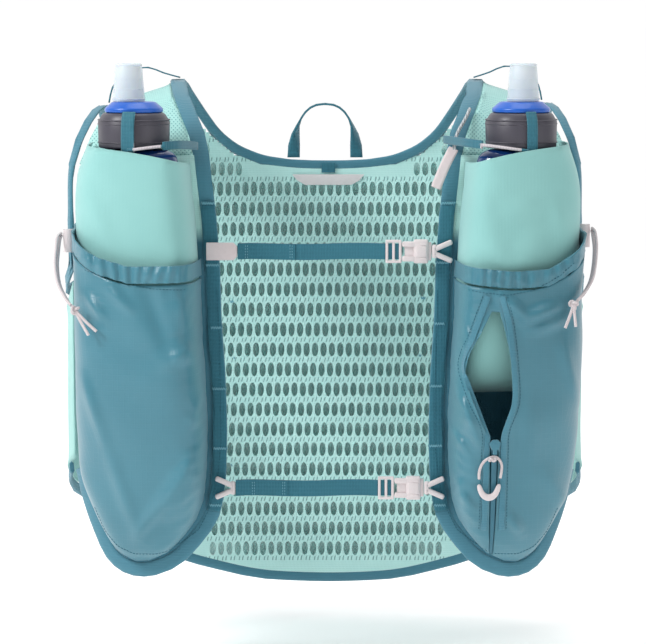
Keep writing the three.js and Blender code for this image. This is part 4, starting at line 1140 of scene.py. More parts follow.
# %% Lattice
holes = 0
for row in ROWS:
    for column in COLUMNS:
        centre = tile_point(column, row, 0, 0)
        if abs(centre[0]) > MESH_REACH or not MESH_LOW < centre[1] < MESH_HIGH:
            continue
        rim = [tile_point(column, row, u, v) for u, v in border]
        hidden = HALF_HIDDEN if abs(centre[0]) < SIDE_SEAM else 0.0
        if all(filled(x, z, hidden) for x, z in rim[::2]):
            holed_tile(column, row, rim)
            holes += 1
        else:
            cut_tile(column, row)
print("holes", holes)

# %% [markdown]
# The flat sheet is carried to the back and gets its wall inwards by Solidify, so that the rim
# of every hole has depth. Its map is the tile itself, and the slits fall between the holes.

# %% The sheet of the back
mesh = bpy.data.meshes.new("back_spacer_mesh")
mesh.from_pydata([back_surface(x, z) for x, z, _, _ in cells], [], faces)
chart = mesh.uv_layers.new(name="cloth")
for loop in mesh.loops:
    x, z, u, v = cells[loop.vertex_index]
    chart.data[loop.index].uv = (u * TILE_WIDTH, v * TILE_HEIGHT)
back_mesh = bpy.data.objects.new("back_spacer_mesh", mesh)
scene.collection.objects.link(back_mesh)
if mesh.polygons[0].normal.y < 0:
    mesh.flip_normals()
wall = back_mesh.modifiers.new("wall", "SOLIDIFY")
wall.thickness = MESH_WALL
wall.offset = -1
apply_modifiers(back_mesh)
shade_smooth(back_mesh, 60)
dress(back_mesh, spacer, "mint_mesh", "back_panel")
mesh_area = sum(p.area for p in back_mesh.data.polygons) / 2
print("back mesh faces", len(back_mesh.data.polygons), "one layer", round(mesh_area, 4))

# %% [markdown]
# ## Seats
# Stitches, bars and zip lie on cloth that has just been folded, so no table can say how far
# out they are. A shrinkwrap modifier would do for one piece. A ray from the front that stops
# at the first cloth does for all, and also gives the way that the cloth faces there.

# %% Seats
def seat(tree, x, z, lift):
    """Place and normal on the first cloth that a ray from the front meets."""
    hit, normal, _, _ = tree.ray_cast(Vector((x, -0.4, z)), Vector((0, 1, 0)))
    if hit is None:
        return None
    if normal.y > 0:
        normal = -normal
    return hit + normal * lift, normal


front_tree = tree_of(*cloth.values(), back_mesh)
print("pieces that rays meet", len(cloth) + 1)

# %% [markdown]
# ## Stitches
# A seam is a row of short beads of thread. Thousands of separate objects would be heavy, and
# a painted line has no relief. So one bead is modelled from a sphere, and each seam is one
# mesh of its copies, turned along the seam and pressed on the cloth.


# %% One stitch
def one_stitch(length, thick):
    """Corners and faces of a bead of thread: a small sphere, stretched in edit mode."""
    bpy.ops.mesh.primitive_uv_sphere_add(segments=8, ring_count=6, radius=1, location=(0, 0, 0))
    bead = bpy.context.object
    bpy.ops.object.mode_set(mode="EDIT")
    bpy.ops.mesh.select_all(action="SELECT")
    bpy.ops.transform.resize(value=(length / 2, thick / 2, thick / 2))
    bpy.ops.object.mode_set(mode="OBJECT")
    corners = np.array([v.co[:] for v in bead.data.vertices])
    sides = [tuple(p.vertices) for p in bead.data.polygons]
    bpy.data.objects.remove(bead, do_unlink=True)
    return corners, sides


# %% [markdown]
# Copies could come from an array modifier, but each stitch has its own place and lean. So the
# corners of one bead are turned and moved by a small matrix, and all are written to one mesh.

# %% Many copies in one mesh
def joined(name, shape, places, material, slot):
    """One mesh of many copies: each place is a point, a way along and a normal."""
    corners, sides = shape
    all_corners, all_sides = [], []
    for point, along, normal in places:
        across = normal.cross(along).normalized()
        up = along.cross(across).normalized()
        turn = np.array([along[:], across[:], up[:]])
        start = len(all_corners)
        all_corners += (corners @ turn + np.array(point[:])).tolist()
        all_sides += [tuple(start + i for i in side) for side in sides]
    made = bpy.data.meshes.new(name)
    made.from_pydata(all_corners, [], all_sides)
    piece = bpy.data.objects.new(name, made)
    scene.collection.objects.link(piece)
    shade_smooth(piece, 60)
    lay_map(piece)
    dress(piece, material, slot)
    return piece


# %% [markdown]
# A sewing machine sets its stitches at one pitch. The seam is given by a few places, and the
# stitches are spaced evenly along it.


# %% Even places
def spaced(run, pitch):
    """Evenly spaced places along a run of (x, z) in metres."""
    flat = [Vector((x, z)) for x, z in run]
    lengths = [0.0]
    for a, b in zip(flat, flat[1:]):
        lengths.append(lengths[-1] + (b - a).length)
    count = max(2, round(lengths[-1] / pitch))
    places = []
    for i in range(count + 1):
        at = lengths[-1] * i / count
        k = min(max(1, bisect.bisect_left(lengths, at)), len(flat) - 1)
        share = (at - lengths[k - 1]) / max(1e-9, lengths[k] - lengths[k - 1])
        places.append(flat[k - 1].lerp(flat[k], share))
    return places


# %% [markdown]
# A seam seats its even places on the cloth and puts one stitch between each two. Where two
# neighbours lie far apart, the line has run over an edge, and that stitch is left out.

# %% A seam
def seam(name, runs, pitch, length, thick, material, slot, tree=None):
    """Stitches along runs of (x, z) places, in millimetres."""
    places = []
    for run in runs:
        line = spaced([(x * MM, z * MM) for x, z in run], pitch)
        for a, b in zip(line, line[1:]):
            one = seat(tree or front_tree, a.x, a.y, thick * 0.2)
            two = seat(tree or front_tree, b.x, b.y, thick * 0.2)
            if one and two and (two[0] - one[0]).length < pitch * 2:
                middle = (one[0] + two[0]) / 2
                places.append((middle, (two[0] - one[0]).normalized(), one[1]))
    print(f"{name:24s} {len(places):5d} stitches")
    return joined(name, one_stitch(length, thick), places, material, slot)


# %% [markdown]
# A line of dark thread runs under each gathered mouth and round each cargo pocket. The lines
# are read from the photograph, as (x, z) in millimetres on the front.

# %% Seams of the pockets
thread_dark = moulded("dark_thread", srgb(36, 96, 114), 0.8, 500)
thread_light = moulded("light_thread", srgb(112, 168, 184), 0.8, 500)
HEM_LINE = {
    "left": [(-188, -141), (-173, -146), (-154, -151), (-136, -154), (-112, -155), (-99, -155)],
    "right": [(97, -154), (118, -157), (136, -158.5), (156, -155), (175, -145), (187, -135)],
}
POCKET_EDGE = {
    "left": [
        (-88, -160), (-86, -200), (-85.5, -240), (-85, -280), (-88, -310), (-94, -332), (-103, -350),
        (-117, -361), (-135, -367), (-153, -368), (-166, -362), (-176, -350), (-184, -330),
    ],
    "right": [
        (84, -160), (83, -200), (82, -240), (82, -280), (85, -310), (91, -332), (100, -350),
        (114, -361), (130, -367), (147, -368), (160, -362), (170, -350), (178, -330),
    ],
}
POCKET_STITCH = (0.0026, 0.0021, 0.0006)
for side in ("left", "right"):
    seam(f"hem_stitches_{side}", [HEM_LINE[side]], *POCKET_STITCH, thread_dark, "teal_nylon")
    seam(f"pocket_stitches_{side}", [POCKET_EDGE[side]], *POCKET_STITCH, thread_dark, "teal_nylon")


# %% [markdown]
# ## Moulded fittings
# Sliders, buckles and hooks are injection moulded, so every edge is slightly rounded and
# nothing is knife sharp. They could be carved from one mesh. Blocks that are bevelled and
# joined are quicker, and show the same steps and ribs.


# %% A rounded block
def block(name, low, high, bevel=0.0, segments=3):
    """A box between two corners in millimetres, with rounded edges."""
    centre = (Vector(low) + Vector(high)) / 2 * MM
    size = (Vector(high) - Vector(low)) * MM
    bpy.ops.object.select_all(action="DESELECT")
    bpy.ops.mesh.primitive_cube_add(size=1, location=centre, scale=size)
    piece = bpy.context.object
    piece.name = name
    bpy.ops.object.transform_apply(location=True, rotation=True, scale=True)
    if bevel:
        bpy.ops.object.mode_set(mode="EDIT")
        bpy.ops.mesh.select_all(action="SELECT")
        bpy.ops.mesh.bevel(offset=bevel * MM, segments=segments, affect="EDGES")
        bpy.ops.object.mode_set(mode="OBJECT")
    return piece


# %% [markdown]
# By hand, one would click on a face. In a script, faces are chosen by what is known of them,
# such as the way that they look. Finished parts are then joined to one object.

# %% Choosing faces and joining
def pick_faces(piece, test):
    """Selects in edit mode the faces that a test accepts."""
    activate(piece)
    bpy.ops.object.mode_set(mode="EDIT")
    bpy.ops.mesh.select_mode(type="FACE")
    made = bmesh.from_edit_mesh(piece.data)
    for face in made.faces:
        face.select_set(bool(test(face)))
    bmesh.update_edit_mesh(piece.data)


def join(name, *pieces):
    """One object of several parts, at the origin, with its map."""
    bpy.ops.object.select_all(action="DESELECT")
    for piece in pieces:
        piece.select_set(True)
    bpy.context.view_layer.objects.active = pieces[0]
    bpy.ops.object.join()
    piece = bpy.context.object
    piece.name = name
    bpy.ops.object.transform_apply(location=True, rotation=True, scale=True)
    lay_map(piece)
    return piece


# %% [markdown]
# The webbing runs through a frame. A boolean could cut the hole. In edit mode the front and
# back faces are inset and bridged, which leaves clean four-sided faces for the bevel.


# %% A frame
def round_edges(piece, width):
    """A bevel on every edge that is sharper than 40 degrees."""
    rounding = piece.modifiers.new("rounding", "BEVEL")
    rounding.width = width
    rounding.segments = 3
    rounding.angle_limit = math.radians(40)
    apply_modifiers(piece)


def frame_piece(name, low, high, wall, bevel):
    """A frame: a box whose front and back faces are inset and bridged through."""
    piece = block(name, low, high)
    pick_faces(piece, lambda face: abs(face.normal.y) > 0.9)
    bpy.ops.mesh.inset(thickness=wall * MM, depth=0)
    bpy.ops.mesh.bridge_edge_loops()
    bpy.ops.object.mode_set(mode="OBJECT")
    round_edges(piece, bevel * MM)
    return piece


def box_of(node):
    """Corners of a solid in millimetres."""
    low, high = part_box(node)
    return [v / MM for v in low], [v / MM for v in high]


# %% [markdown]
# A ladder slider has a frame and a bar that the webbing passes under. It sets the length of
# the strap.


# %% Slider
def slider(node):
    """A ladder slider: a frame with a bar that the webbing passes under."""
    (x0, y0, z0), (x1, y1, z1) = box_of(node)
    ring = frame_piece(node + "_ring", (x0, y0, z0), (x1, y1, z1), 2.1, 0.7)
    bar = block(node + "_bar", (x0 + 5.2, y0 + 0.3, z0 + 1), (x0 + 7.3, y1 - 0.6, z1 - 1), 0.5)
    piece = join(node + "_moulding", ring, bar)
    shade_smooth(piece, 40)
    dress(piece, pale_plastic, "pale_plastic", node)


# %% [markdown]
# The buckle's two prongs reach towards the webbing. Behind them come a waist and a raised
# latch with ribs for the fingers. Each is a block of its own, tapered where the real one is.


# %% Buckle
def buckle(node):
    """A stepped buckle: two prongs towards the webbing, a waist and a raised latch."""
    (x0, y0, z0), (x1, y1, z1) = box_of(node)
    middle = (z0 + z1) / 2
    back = block(node + "_plate", (x0 + 2, y0 + 3, z0 + 2.2), (x1, y1, z1 - 2.2), 0.9)
    body = block(node + "_body", (x0 + 9, y0 + 0.8, z0), (x1 - 2.5, y1, z1), 1.5)
    latch = block(node + "_latch", (x0 + 10.5, y0, middle - 4.6), (x1 - 3.5, y0 + 3, middle + 4.6), 1.2)
    pieces = [back, body, latch]
    for sign in (-1, 1):
        z = middle + sign * 5.6
        prong = block(node + "_prong", (x0, y0 + 0.9, z - 2.1), (x0 + 12, y1 - 1, z + 2.1), 1.1)
        pick_faces(prong, lambda face: face.normal.x < -0.9)
        bpy.ops.transform.resize(value=(1, 0.8, 0.55), center_override=(x0 * MM, y0 * MM, z * MM))
        bpy.ops.object.mode_set(mode="OBJECT")
        rib = block(node + "_rib", (x1 - 9, y0 + 0.3, z - 1), (x1 - 4, y0 + 1.6, z + 1), 0.5)
        pieces += [prong, rib]
    piece = join(node + "_moulding", *pieces)
    shade_smooth(piece, 40)
    dress(piece, pale_plastic, "pale_plastic", node)


# %% [markdown]
# A hook has a short stem and two arms that spread under the loops of webbing. Each arm is a
# block that is stretched, turned and bevelled, with its turn then applied.


# %% Hook
def hook_arm(start, end, depth):
    """A rounded bar from one place to another, in millimetres."""
    length = (end - start).length + 3
    bpy.ops.object.select_all(action="DESELECT")
    bpy.ops.mesh.primitive_cube_add(size=1, location=(start + end) / 2 * MM)
    arm = bpy.context.object
    arm.scale = (length * MM, depth * MM, 4.1 * MM)
    arm.rotation_euler = (0, -math.atan2(end.z - start.z, end.x - start.x), 0)
    bpy.ops.object.transform_apply(location=True, rotation=True, scale=True)
    bpy.ops.object.mode_set(mode="EDIT")
    bpy.ops.mesh.select_all(action="SELECT")
    bpy.ops.mesh.bevel(offset=1.5 * MM, segments=4, affect="EDGES")
    bpy.ops.object.mode_set(mode="OBJECT")
    return arm


# %% [markdown]
# The two arms start close together at the stem and spread. Which way they point is given by
# the side on which the strap lies.


# %% Hook of two arms
def hook(node, opens):
    """A V-shaped hook whose two rounded arms reach under the webbing loop."""
    (x0, y0, z0), (x1, y1, z1) = box_of(node)
    root_x, tip_x = (x0, x1) if opens > 0 else (x1, x0)
    middle = (z0 + z1) / 2
    stem = block(node + "_stem", (min(root_x, root_x + 4 * opens), y0, middle - 5.2),
                 (max(root_x, root_x + 4 * opens), y1, middle + 5.2), 1.3)
    pieces = [stem]
    for sign in (-1, 1):
        start = Vector((root_x + 2.2 * opens, (y0 + y1) / 2, middle + sign * 1.8))
        end = Vector((tip_x - 1.7 * opens, (y0 + y1) / 2, middle + sign * ((z1 - z0) / 2 - 2.2)))
        pieces.append(hook_arm(start, end, y1 - y0))
    piece = join(node + "_moulding", *pieces)
    shade_smooth(piece, 50)
    dress(piece, pale_plastic, "pale_plastic", node)


# %% [markdown]
# Each fitting takes its place and its size from its solid. Both straps have the same kinds,
# and the lower one has a hook at its other end as well.

# %% Making the fittings
for level in ("upper", "lower"):
    slider(f"{level}_slider")
    buckle(f"{level}_buckle")
    hook(f"{level}_hook", 1)
hook("lower_end_hook", -1)
print("fittings made")

# %% [markdown]
# ## Chest straps
# Each strap is flat webbing that is folded back on itself and sewn, so one part is double and
# ends in a step. Cloth simulation isn't needed for webbing under tension. A box is subdivided
# along its length, lifted where it doubles and rippled slightly.


# %% A strap
def strap(node, doubled_to, seams):
    """Tape, fold and tongue, joined, rippled and sewn across at some places."""
    (x0, y0, z0), (x1, y1, z1) = box_of(node)
    pieces = []
    for name, left, right, front, back, inset in (
        ("_tape", x0, x1, y0, y1, 0.0),
        ("_fold", x0, doubled_to, y0 - 1.1, y0 + 0.05, 0.15),
        ("_tongue", x1 - 0.5, x1 + 11.5, y0 + 0.7, y1, 0.1),
    ):
        part = block(node + name, (left, front, z0 + inset), (right, back, z1 - inset))
        activate(part)
        bpy.ops.object.mode_set(mode="EDIT")
        bpy.ops.mesh.select_all(action="SELECT")
        bpy.ops.mesh.subdivide(number_cuts=15)
        bpy.ops.object.mode_set(mode="OBJECT")
        pieces.append(part)
    piece = join(node + "_cloth", *pieces)
    for vertex in piece.data.vertices:
        co = vertex.co
        fade = max(0, min(1, (x1 * MM - co.x) / 0.008, (co.x - x0 * MM) / 0.008))
        co.y += 0.0007 * fade * math.sin(co.x * 95) + 0.0004 * fade * noise.noise(co * 60)
        co.z += 0.0004 * fade * math.sin(co.x * 70)
    piece.data.update()
    shade_smooth(piece, 50)
    lay_map(piece)
    dress(piece, webbing, "deep_teal_webbing", node)
    tree = tree_of(piece)
    runs = [[(x, z0 + 0.8), (x, z1 - 0.8)] for x in seams]
    seam(node + "_stitches", runs, 0.0022, 0.0015, 0.0007, thread_light, "deep_teal_webbing", tree)


# %% [markdown]
# The two straps differ in how far they are doubled, and in where they are sewn across. These
# places are read from the photograph, in millimetres.

# %% Making the straps
strap("upper_strap", -27.0, (-65.5, -63.9, -29.2, -30.8))
strap("lower_strap", -33.0, (-60.5, -58.9, -35.2, -36.8))
print("straps made")

# %% [markdown]
# ## Tab, labels and loops
# The pale tab on the upper strap is coated tape, left bare, and so is the neck label. They
# are thin and flat, so their solids need only softened edges: a bevel on a merged copy.


# %% Softened copies
def softened(node, material, slot, width, segments=3):
    """A copy of a solid with rounded edges."""
    piece = merged_copy(node, node + "_soft")
    rounding = piece.modifiers.new("rounding", "BEVEL")
    rounding.width = width * MM
    rounding.segments = segments
    rounding.angle_limit = math.radians(40)
    apply_modifiers(piece)
    lay_map(piece)
    shade_smooth(piece, 45)
    dress(piece, material, slot, node)
    return piece


# %% [markdown]
# The tab has rounder edges than the label, as thick coated tape has. Both stay plain.

# %% Tab and labels
softened("upper_strap_tab", pale_tape, "pale_label", 0.5)
softened("neck_label", label_cloth, "pale_label", 0.25)
softened("neck_tab", webbing, "deep_teal_webbing", 0.3)
print("labels made")


# %% [markdown]
# The loop that holds a flask is webbing above and elastic cord below, and the pull tab hangs
# on a speckled cord. Each is one solid. Splitting it would open a gap, so the faces of the
# second material are chosen by their place.


# %% Loops of two materials
def two_finishes(piece, second, test):
    """Gives the faces that a test accepts a second finish."""
    piece.data.materials.append(second)
    for polygon in piece.data.polygons:
        if test(polygon.center / MM):
            polygon.material_index = 1


def rounded_loop(node, crease, material, slot):
    """A copy of a solid that is rounded by subdivision, with its rims partly kept."""
    piece = merged_copy(node, node + "_cloth")
    crease_rims(piece, math.radians(60), crease)
    subdivide(piece, 2)
    lay_map(piece)
    shade_smooth(piece, 60)
    dress(piece, material, slot, node)
    return piece


# %% [markdown]
# The elastic part of a loop lies low, between two places across. The faces between them get
# its braid, and the rest stays webbing.

# %% Flask loops and pull tab
ELASTIC_BELOW = -44.5
ELASTIC_SPAN = {"left": (-149.2, -128.5), "right": (114.5, 145.8)}
for side, (low, high) in ELASTIC_SPAN.items():
    loop = rounded_loop(f"flask_loop_{side}", 0.6, webbing, "deep_teal_webbing")
    two_finishes(loop, elastic, lambda p, a=low, b=high: a < p.x < b and p.z < ELASTIC_BELOW)
    print(loop.name, len(loop.data.polygons), "faces")

tab = rounded_loop("pull_tab", 0.7, pale_tape, "pale_cord")
two_finishes(tab, speckled_cord, lambda p: p.z > -51.5 and p.x > 95.2)
print(tab.name, len(tab.data.polygons), "faces")

# %% [markdown]
# ## Bartacks
# Along the inner edges the webbing is tacked down at regular places: a short raised bar of
# close zigzag thread, which takes the load. A box would look like a clip, so a bar is a row
# of stitches side by side that lean to and fro.

# %% Bartacks
front_tree = tree_of(*cloth.values(), back_mesh)
BAR_PITCH = 0.0009
BAR_HALF = 6
BAR_LEAN = 0.35
BAR_ROWS = {
    # side: (x at the middle of the webbing, z) of each bar, in millimetres
    "left": [
        (-95.5, -93), (-90.5, -141), (-87, -190), (-86, -238), (-86, -285), (-88.5, -330),
    ],
    "right": [
        (92, -93), (88, -139), (83.5, -187), (82, -236), (82, -283), (85, -330),
    ],
}


def bar_places(x, z):
    """Place, way along and normal of each stitch of one bar."""
    places = []
    for k in range(-BAR_HALF, BAR_HALF + 1):
        found = seat(front_tree, x * MM + k * BAR_PITCH, z * MM, 0.0002)
        if found:
            point, normal = found
            lean = Vector((BAR_LEAN if k % 2 else -BAR_LEAN, 0, 1))
            along = (lean - normal * lean.dot(normal)).normalized()
            places.append((point, along, normal))
    return places


for side, rows in BAR_ROWS.items():
    places = [place for x, z in rows for place in bar_places(x, z)]
    print("bartacks", side, len(rows), "stitches", len(places))
    joined(f"bartacks_{side}", one_stitch(0.0026, 0.0009), places, thread_light, "steel_teal_binding")

# %% [markdown]
# ## Cords
# A drawcord is a braided cord of known length that hangs from its lock to a knot. A
# simulation could let it hang, but the photograph shows where it lies. So a smooth line is
# drawn through those places, its length is measured, and it is given its thickness.


# %% A smooth line
def through(places, steps=10):
    """A smooth line through places in millimetres, as points in metres."""
    points = [Vector(p) * MM for p in places]
    points = [points[0] * 2 - points[1], *points, points[-1] * 2 - points[-2]]
    line = []
    for i in range(1, len(points) - 2):
        a, b, c, d = points[i - 1:i + 3]
        for k in range(steps):
            t = k / steps
            line.append(0.5 * (2 * b + (c - a) * t + (2 * a - 5 * b + 4 * c - d) * t * t
                               + (3 * b - a - 3 * c + d) * t ** 3))
    return line + [points[-2]]


def run_length(line):
    """Length of a line in metres."""
    return sum((b - a).length for a, b in zip(line, line[1:]))


# %% [markdown]
# A curve with a bevel is a tube without more work, but its map is laid anew for each face. So
# it is turned into a mesh, and its map is written by length and turn, as the braid needs.


# %% Map of a cord
def map_along(piece, line):
    """Writes a cord's map: length along its line, and turn round it."""
    mesh = piece.data
    run = np.array([p[:] for p in line])
    along = np.concatenate([[0], np.cumsum(np.linalg.norm(np.diff(run, axis=0), axis=1))])
    where = np.array([v.co[:] for v in mesh.vertices])
    near = np.linalg.norm(where[:, None] - run[None], axis=2).argmin(axis=1)
    while mesh.uv_layers:
        mesh.uv_layers.remove(mesh.uv_layers[0])
    uv = mesh.uv_layers.new(name="cloth")
    for loop in mesh.loops:
        k = near[loop.vertex_index]
        away = where[loop.vertex_index] - run[k]
        uv.data[loop.index].uv = (along[k], math.atan2(away[2], away[0]) / (2 * math.pi))


# %% [markdown]
# The line becomes a curve of straight steps, so its length stays what was measured. A closed
# line, such as a knot's, needs no caps at its ends.


# %% A tube along a line
def tube(name, line, diameter, closed=False):
    """A round cord along a line, with its own map of length and turn."""
    curve = bpy.data.curves.new(name, "CURVE")
    curve.dimensions = "3D"
    curve.bevel_depth = diameter / 2
    curve.bevel_resolution = 3
    curve.use_fill_caps = not closed
    spline = curve.splines.new("POLY")
    spline.points.add(len(line) - 1)
    for point, place in zip(spline.points, line):
        point.co = (*place, 1)
    spline.use_cyclic_u = closed
    piece = bpy.data.objects.new(name, curve)
    scene.collection.objects.link(piece)
    activate(piece)
    bpy.ops.object.convert(target="MESH")
    piece = bpy.context.object
    mesh = piece.data
    made = bmesh.new()
    made.from_mesh(mesh)
    bmesh.ops.remove_doubles(made, verts=made.verts, dist=1e-7)
    made.to_mesh(mesh)
    made.free()
    map_along(piece, line)
    shade_smooth(piece, 60)
    return piece


# %% [markdown]
# An overhand knot follows a trefoil, a line with a short formula. A tube along it crosses
# over and under as the real knot does.


# %% A knot
def knot_line(centre, heading, radius, turns=64):
    """A trefoil: the line that an overhand knot follows."""
    turn = heading.to_track_quat("Z", "Y").to_matrix()
    line = []
    for i in range(turns):
        t = 2 * math.pi * i / turns
        place = Vector((
            math.sin(t) + 2 * math.sin(2 * t), math.cos(t) - 2 * math.cos(2 * t), -math.sin(3 * t)))
        line.append(centre + turn @ (place * radius / 3))
    return line


# %% [markdown]
# Each side has two strands side by side, from the lock over the pocket to a knot, and two
# tails below it. The rows hold places in millimetres, read from the photograph.

# %% Places of the drawcords
DRAWCORDS = {
    "left": {
        "strand": [(-210.9, -83, -118), (-213.5, -88, -121), (-214, -97, -130), (-213.5, -112, -141),
                   (-210, -130, -153), (-203, -147, -163), (-198, -154, -168)],
        "beside": (1.8, 1.8, -2.2), "tails": [(-184, -163, -190), (-178, -163, -187)],
    },
    "right": {
        "strand": [(205.9, -83, -114), (208, -88, -117), (208.5, -97, -127), (206.5, -112, -139),
                   (202.5, -130, -150), (195, -148, -159), (189, -157, -164)],
        "beside": (-1.8, 1.8, -2.2), "tails": [(179, -166, -184), (187, -166, -183)],
    },
}
DRAWCORD = 0.0024
KNOT_RADIUS = 0.0042
KNOT_TURN = 0.0034
WELL_DEPTH = 0.0012


# %% [markdown]
# Two strands end in one overhand knot, and their cut ends hang below it. The knot and its
# tails are tubes that are joined where they meet, because a real knot is cord over cord as
# well.


# %% Knot of the drawcords
def drawcord_knot(side, centre, heading):
    """The knot that joins two strands, with its two tails."""
    line = knot_line(centre, heading, KNOT_TURN)
    parts = [tube("knot", line, DRAWCORD * 0.95, closed=True)]
    for end in DRAWCORDS[side]["tails"]:
        middle = centre.lerp(Vector(end) * MM, 0.5) + Vector((0, 0, -0.0006))
        tail = [centre, middle, Vector(end) * MM]
        parts.append(tube("tail", through([p / MM for p in tail], 6), DRAWCORD))
    activate(parts[0])
    for part in parts:
        part.select_set(True)
    bpy.ops.object.join()
    knot = bpy.context.object
    knot.name = f"drawcord_knot_{side}_cord"
    dress(knot, pale_cord, "pale_cord", f"drawcord_knot_{side}")
    return knot


# %% [markdown]
# A cord lock is a barrel with a sprung button that sinks into its top. A cylinder is its
# start: the top face is inset and sunk for the well, and its middle raised again for the
# button.


# %% Cord lock
def lock_barrel(side):
    """A turned barrel with a button in its top, and rounded edges."""
    low, high = box_of(f"cord_lock_{side}")
    centre = [(a + b) / 2 for a, b in zip(low, high)]
    radius = (high[0] - low[0]) / 2 * MM
    bpy.ops.object.select_all(action="DESELECT")
    bpy.ops.mesh.primitive_cylinder_add(
        vertices=40, radius=radius, depth=(high[2] - low[2]) * MM, location=Vector(centre) * MM)
    barrel = bpy.context.object
    barrel.name = f"cord_lock_{side}_barrel"
    bpy.ops.object.transform_apply(location=True, rotation=True, scale=True)
    pick_faces(barrel, lambda face: face.normal.z > 0.9)
    bpy.ops.mesh.inset(thickness=0.0009, depth=-WELL_DEPTH)
    bpy.ops.mesh.inset(thickness=0.0004, depth=0)
    bpy.ops.mesh.extrude_region_move(TRANSFORM_OT_translate={"value": (0, 0, WELL_DEPTH)})
    bpy.ops.object.mode_set(mode="OBJECT")
    round_edges(barrel, 0.0008)
    lay_map(barrel)
    shade_smooth(barrel, 40)
    dress(barrel, pale_plastic, "pale_plastic", f"cord_lock_{side}")
    return barrel


# %% [markdown]
# Now each side is put together. The first strand leaves the lock, and the second runs beside it. Both end
# just above the knot.

# %% Drawcords
for side, rows in DRAWCORDS.items():
    first = rows["strand"]
    beside = Vector(rows["beside"])
    second = [Vector(p) + beside for p in first]
    second[0] = Vector(first[0]) + Vector((0, beside.y, beside.z))
    heading = (Vector(first[-1]) - Vector(first[-2])).normalized()
    end = (Vector(first[-1]) * MM + second[-1] * MM) / 2
    knot = drawcord_knot(side, end + heading * (KNOT_RADIUS + 0.0003), heading)
    barrel = lock_barrel(side)
    for letter, places in (("a", first), ("b", second)):
        line = through([tuple(p) for p in places])
        piece = tube(f"drawcord_{letter}_{side}_cord", line, DRAWCORD)
        dress(piece, pale_cord, "pale_cord", f"drawcord_{letter}_{side}")
        run_length(line)
        (knot, barrel) if letter == "a" else ()
        print(piece.name, round(run_length(line), 4), "m")

# %% [markdown]
# ## Zip
# The zip is open over its upper part, so its two edges part round a leaf-shaped gap, and
# below the slider they meet in one straight chain. A strip could be cut out of the pocket's
# own mesh, but its edges would be ragged. A ribbon of tape is laid along each edge instead.


# %% A ribbon of tape
def ribbon(name, line, normals, width, thickness):
    """A flat tape along a line: a grid whose rows are set to the line's frames."""
    rows = len(line)
    bpy.ops.object.select_all(action="DESELECT")
    bpy.ops.mesh.primitive_grid_add(x_subdivisions=2, y_subdivisions=rows - 1, size=1)
    piece = bpy.context.object
    piece.name = name
    order = sorted(piece.data.vertices, key=lambda v: (round(v.co.y, 5), v.co.x))
    for i, (point, normal) in enumerate(zip(line, normals)):
        ahead = line[min(i + 1, rows - 1)] - line[max(i - 1, 0)]
        across = normal.cross(ahead.normalized()).normalized()
        for k in range(3):
            order[i * 3 + k].co = point + across * width * (0.5 - k / 2)
    piece.data.update()
    wall = piece.modifiers.new("wall", "SOLIDIFY")
    wall.thickness = thickness
    wall.offset = 0
    rounding = piece.modifiers.new("rounding", "BEVEL")
    rounding.width = thickness * 0.35
    rounding.segments = 2
    apply_modifiers(piece)
    lay_map(piece)
    shade_smooth(piece, 50)
    return piece


# %% [markdown]
# The tape is sewn on the pocket, so its line is seated by rays on the pocket alone. Rays that
# fall through the open zip land far inside. A jump in depth tells them, and they are left
# out.

# %% Along the pocket
pocket_tree = tree_of(cloth["cargo_pocket_right"])
DEPTH_JUMP = 0.004


def seated_run(run, pitch, lift, shift=0.0):
    """Places and normals along a run of (x, z) millimetres, seated on the pocket."""
    line, normals = [], []
    last = None
    for place in spaced([(x * MM, z * MM) for x, z in run], pitch):
        found = seat(pocket_tree, place.x + shift, place.y, lift)
        inside = found is None or (last is not None and abs(found[0].y - last) > DEPTH_JUMP)
        if inside:
            continue
        last = found[0].y
        line.append(found[0])
        normals.append(found[1])
    return line, normals


# %% [markdown]
# The two edges are lines of (x, z) in millimetres on the front, with a row of stitches beside
# each.

# %% Edges of the zip
ZIP_LINES = {
    "left": [
        (122.5, -159), (112, -189), (107, -202), (105, -218), (113, -243), (122, -262), (122.5, -285),
        (122, -345),
    ],
    "right": [
        (128, -159), (134, -184), (138, -222), (138, -243), (131, -264), (130.5, -285), (130.5, -345),
    ],
}
TAPE_SHIFT = {"left": -0.0026, "right": 0.0026}
SEAM_SHIFT = 0.0038
dark_coil = moulded("zip_teeth", srgb(46, 108, 128), 0.45, 700)
for side, run in ZIP_LINES.items():
    shift = TAPE_SHIFT[side]
    smooth = [(p.x / MM, p.z / MM) for p in through([(x, 0, z) for x, z in run], 8)]
    line, normals = seated_run(smooth, 0.0035, 0.0006, shift)
    tape = ribbon(f"zip_edge_{side}", line, normals, 0.0046, 0.0009)
    dress(tape, binding, "steel_teal_binding")
    print(tape.name, len(line), "places")
    stitch_run = [(x + (shift + math.copysign(SEAM_SHIFT, shift)) / MM, z) for x, z in smooth]
    seam(f"zip_stitches_{side}", [stitch_run], *POCKET_STITCH, thread_dark, "teal_nylon", pocket_tree)

# %% [markdown]
# ## Pull cord and grip
# The zip pull is a loop of cord with a moulded grip round its lower end. The loop leaves the
# slider, crosses itself in a small knot and runs into both ends of the grip. A torus would be
# too even, so the loop is a line through places from the photograph.

# %% Pull cord
ZIP_CORD = 0.0022
PULL = [
    (114.6, -155.6, -301.8), (114.5, -157.3, -297.2), (115.5, -158.9, -292.2), (118, -160.2, -287.8),
    (122, -160.9, -284.9), (126.3, -160.6, -284.0), (129.6, -159.4, -286.2), (131.7, -157.6, -290.4),
    (131.7, -156.1, -295.6), (130.9, -154.7, -301.2),
]
pull_line = through(PULL, 8)
pull_cord = tube("zip_pull_cord_loop", pull_line, ZIP_CORD)
dress(pull_cord, pale_cord, "pale_cord", "zip_pull_cord")
print(pull_cord.name, round(run_length(pull_line), 4), "m")
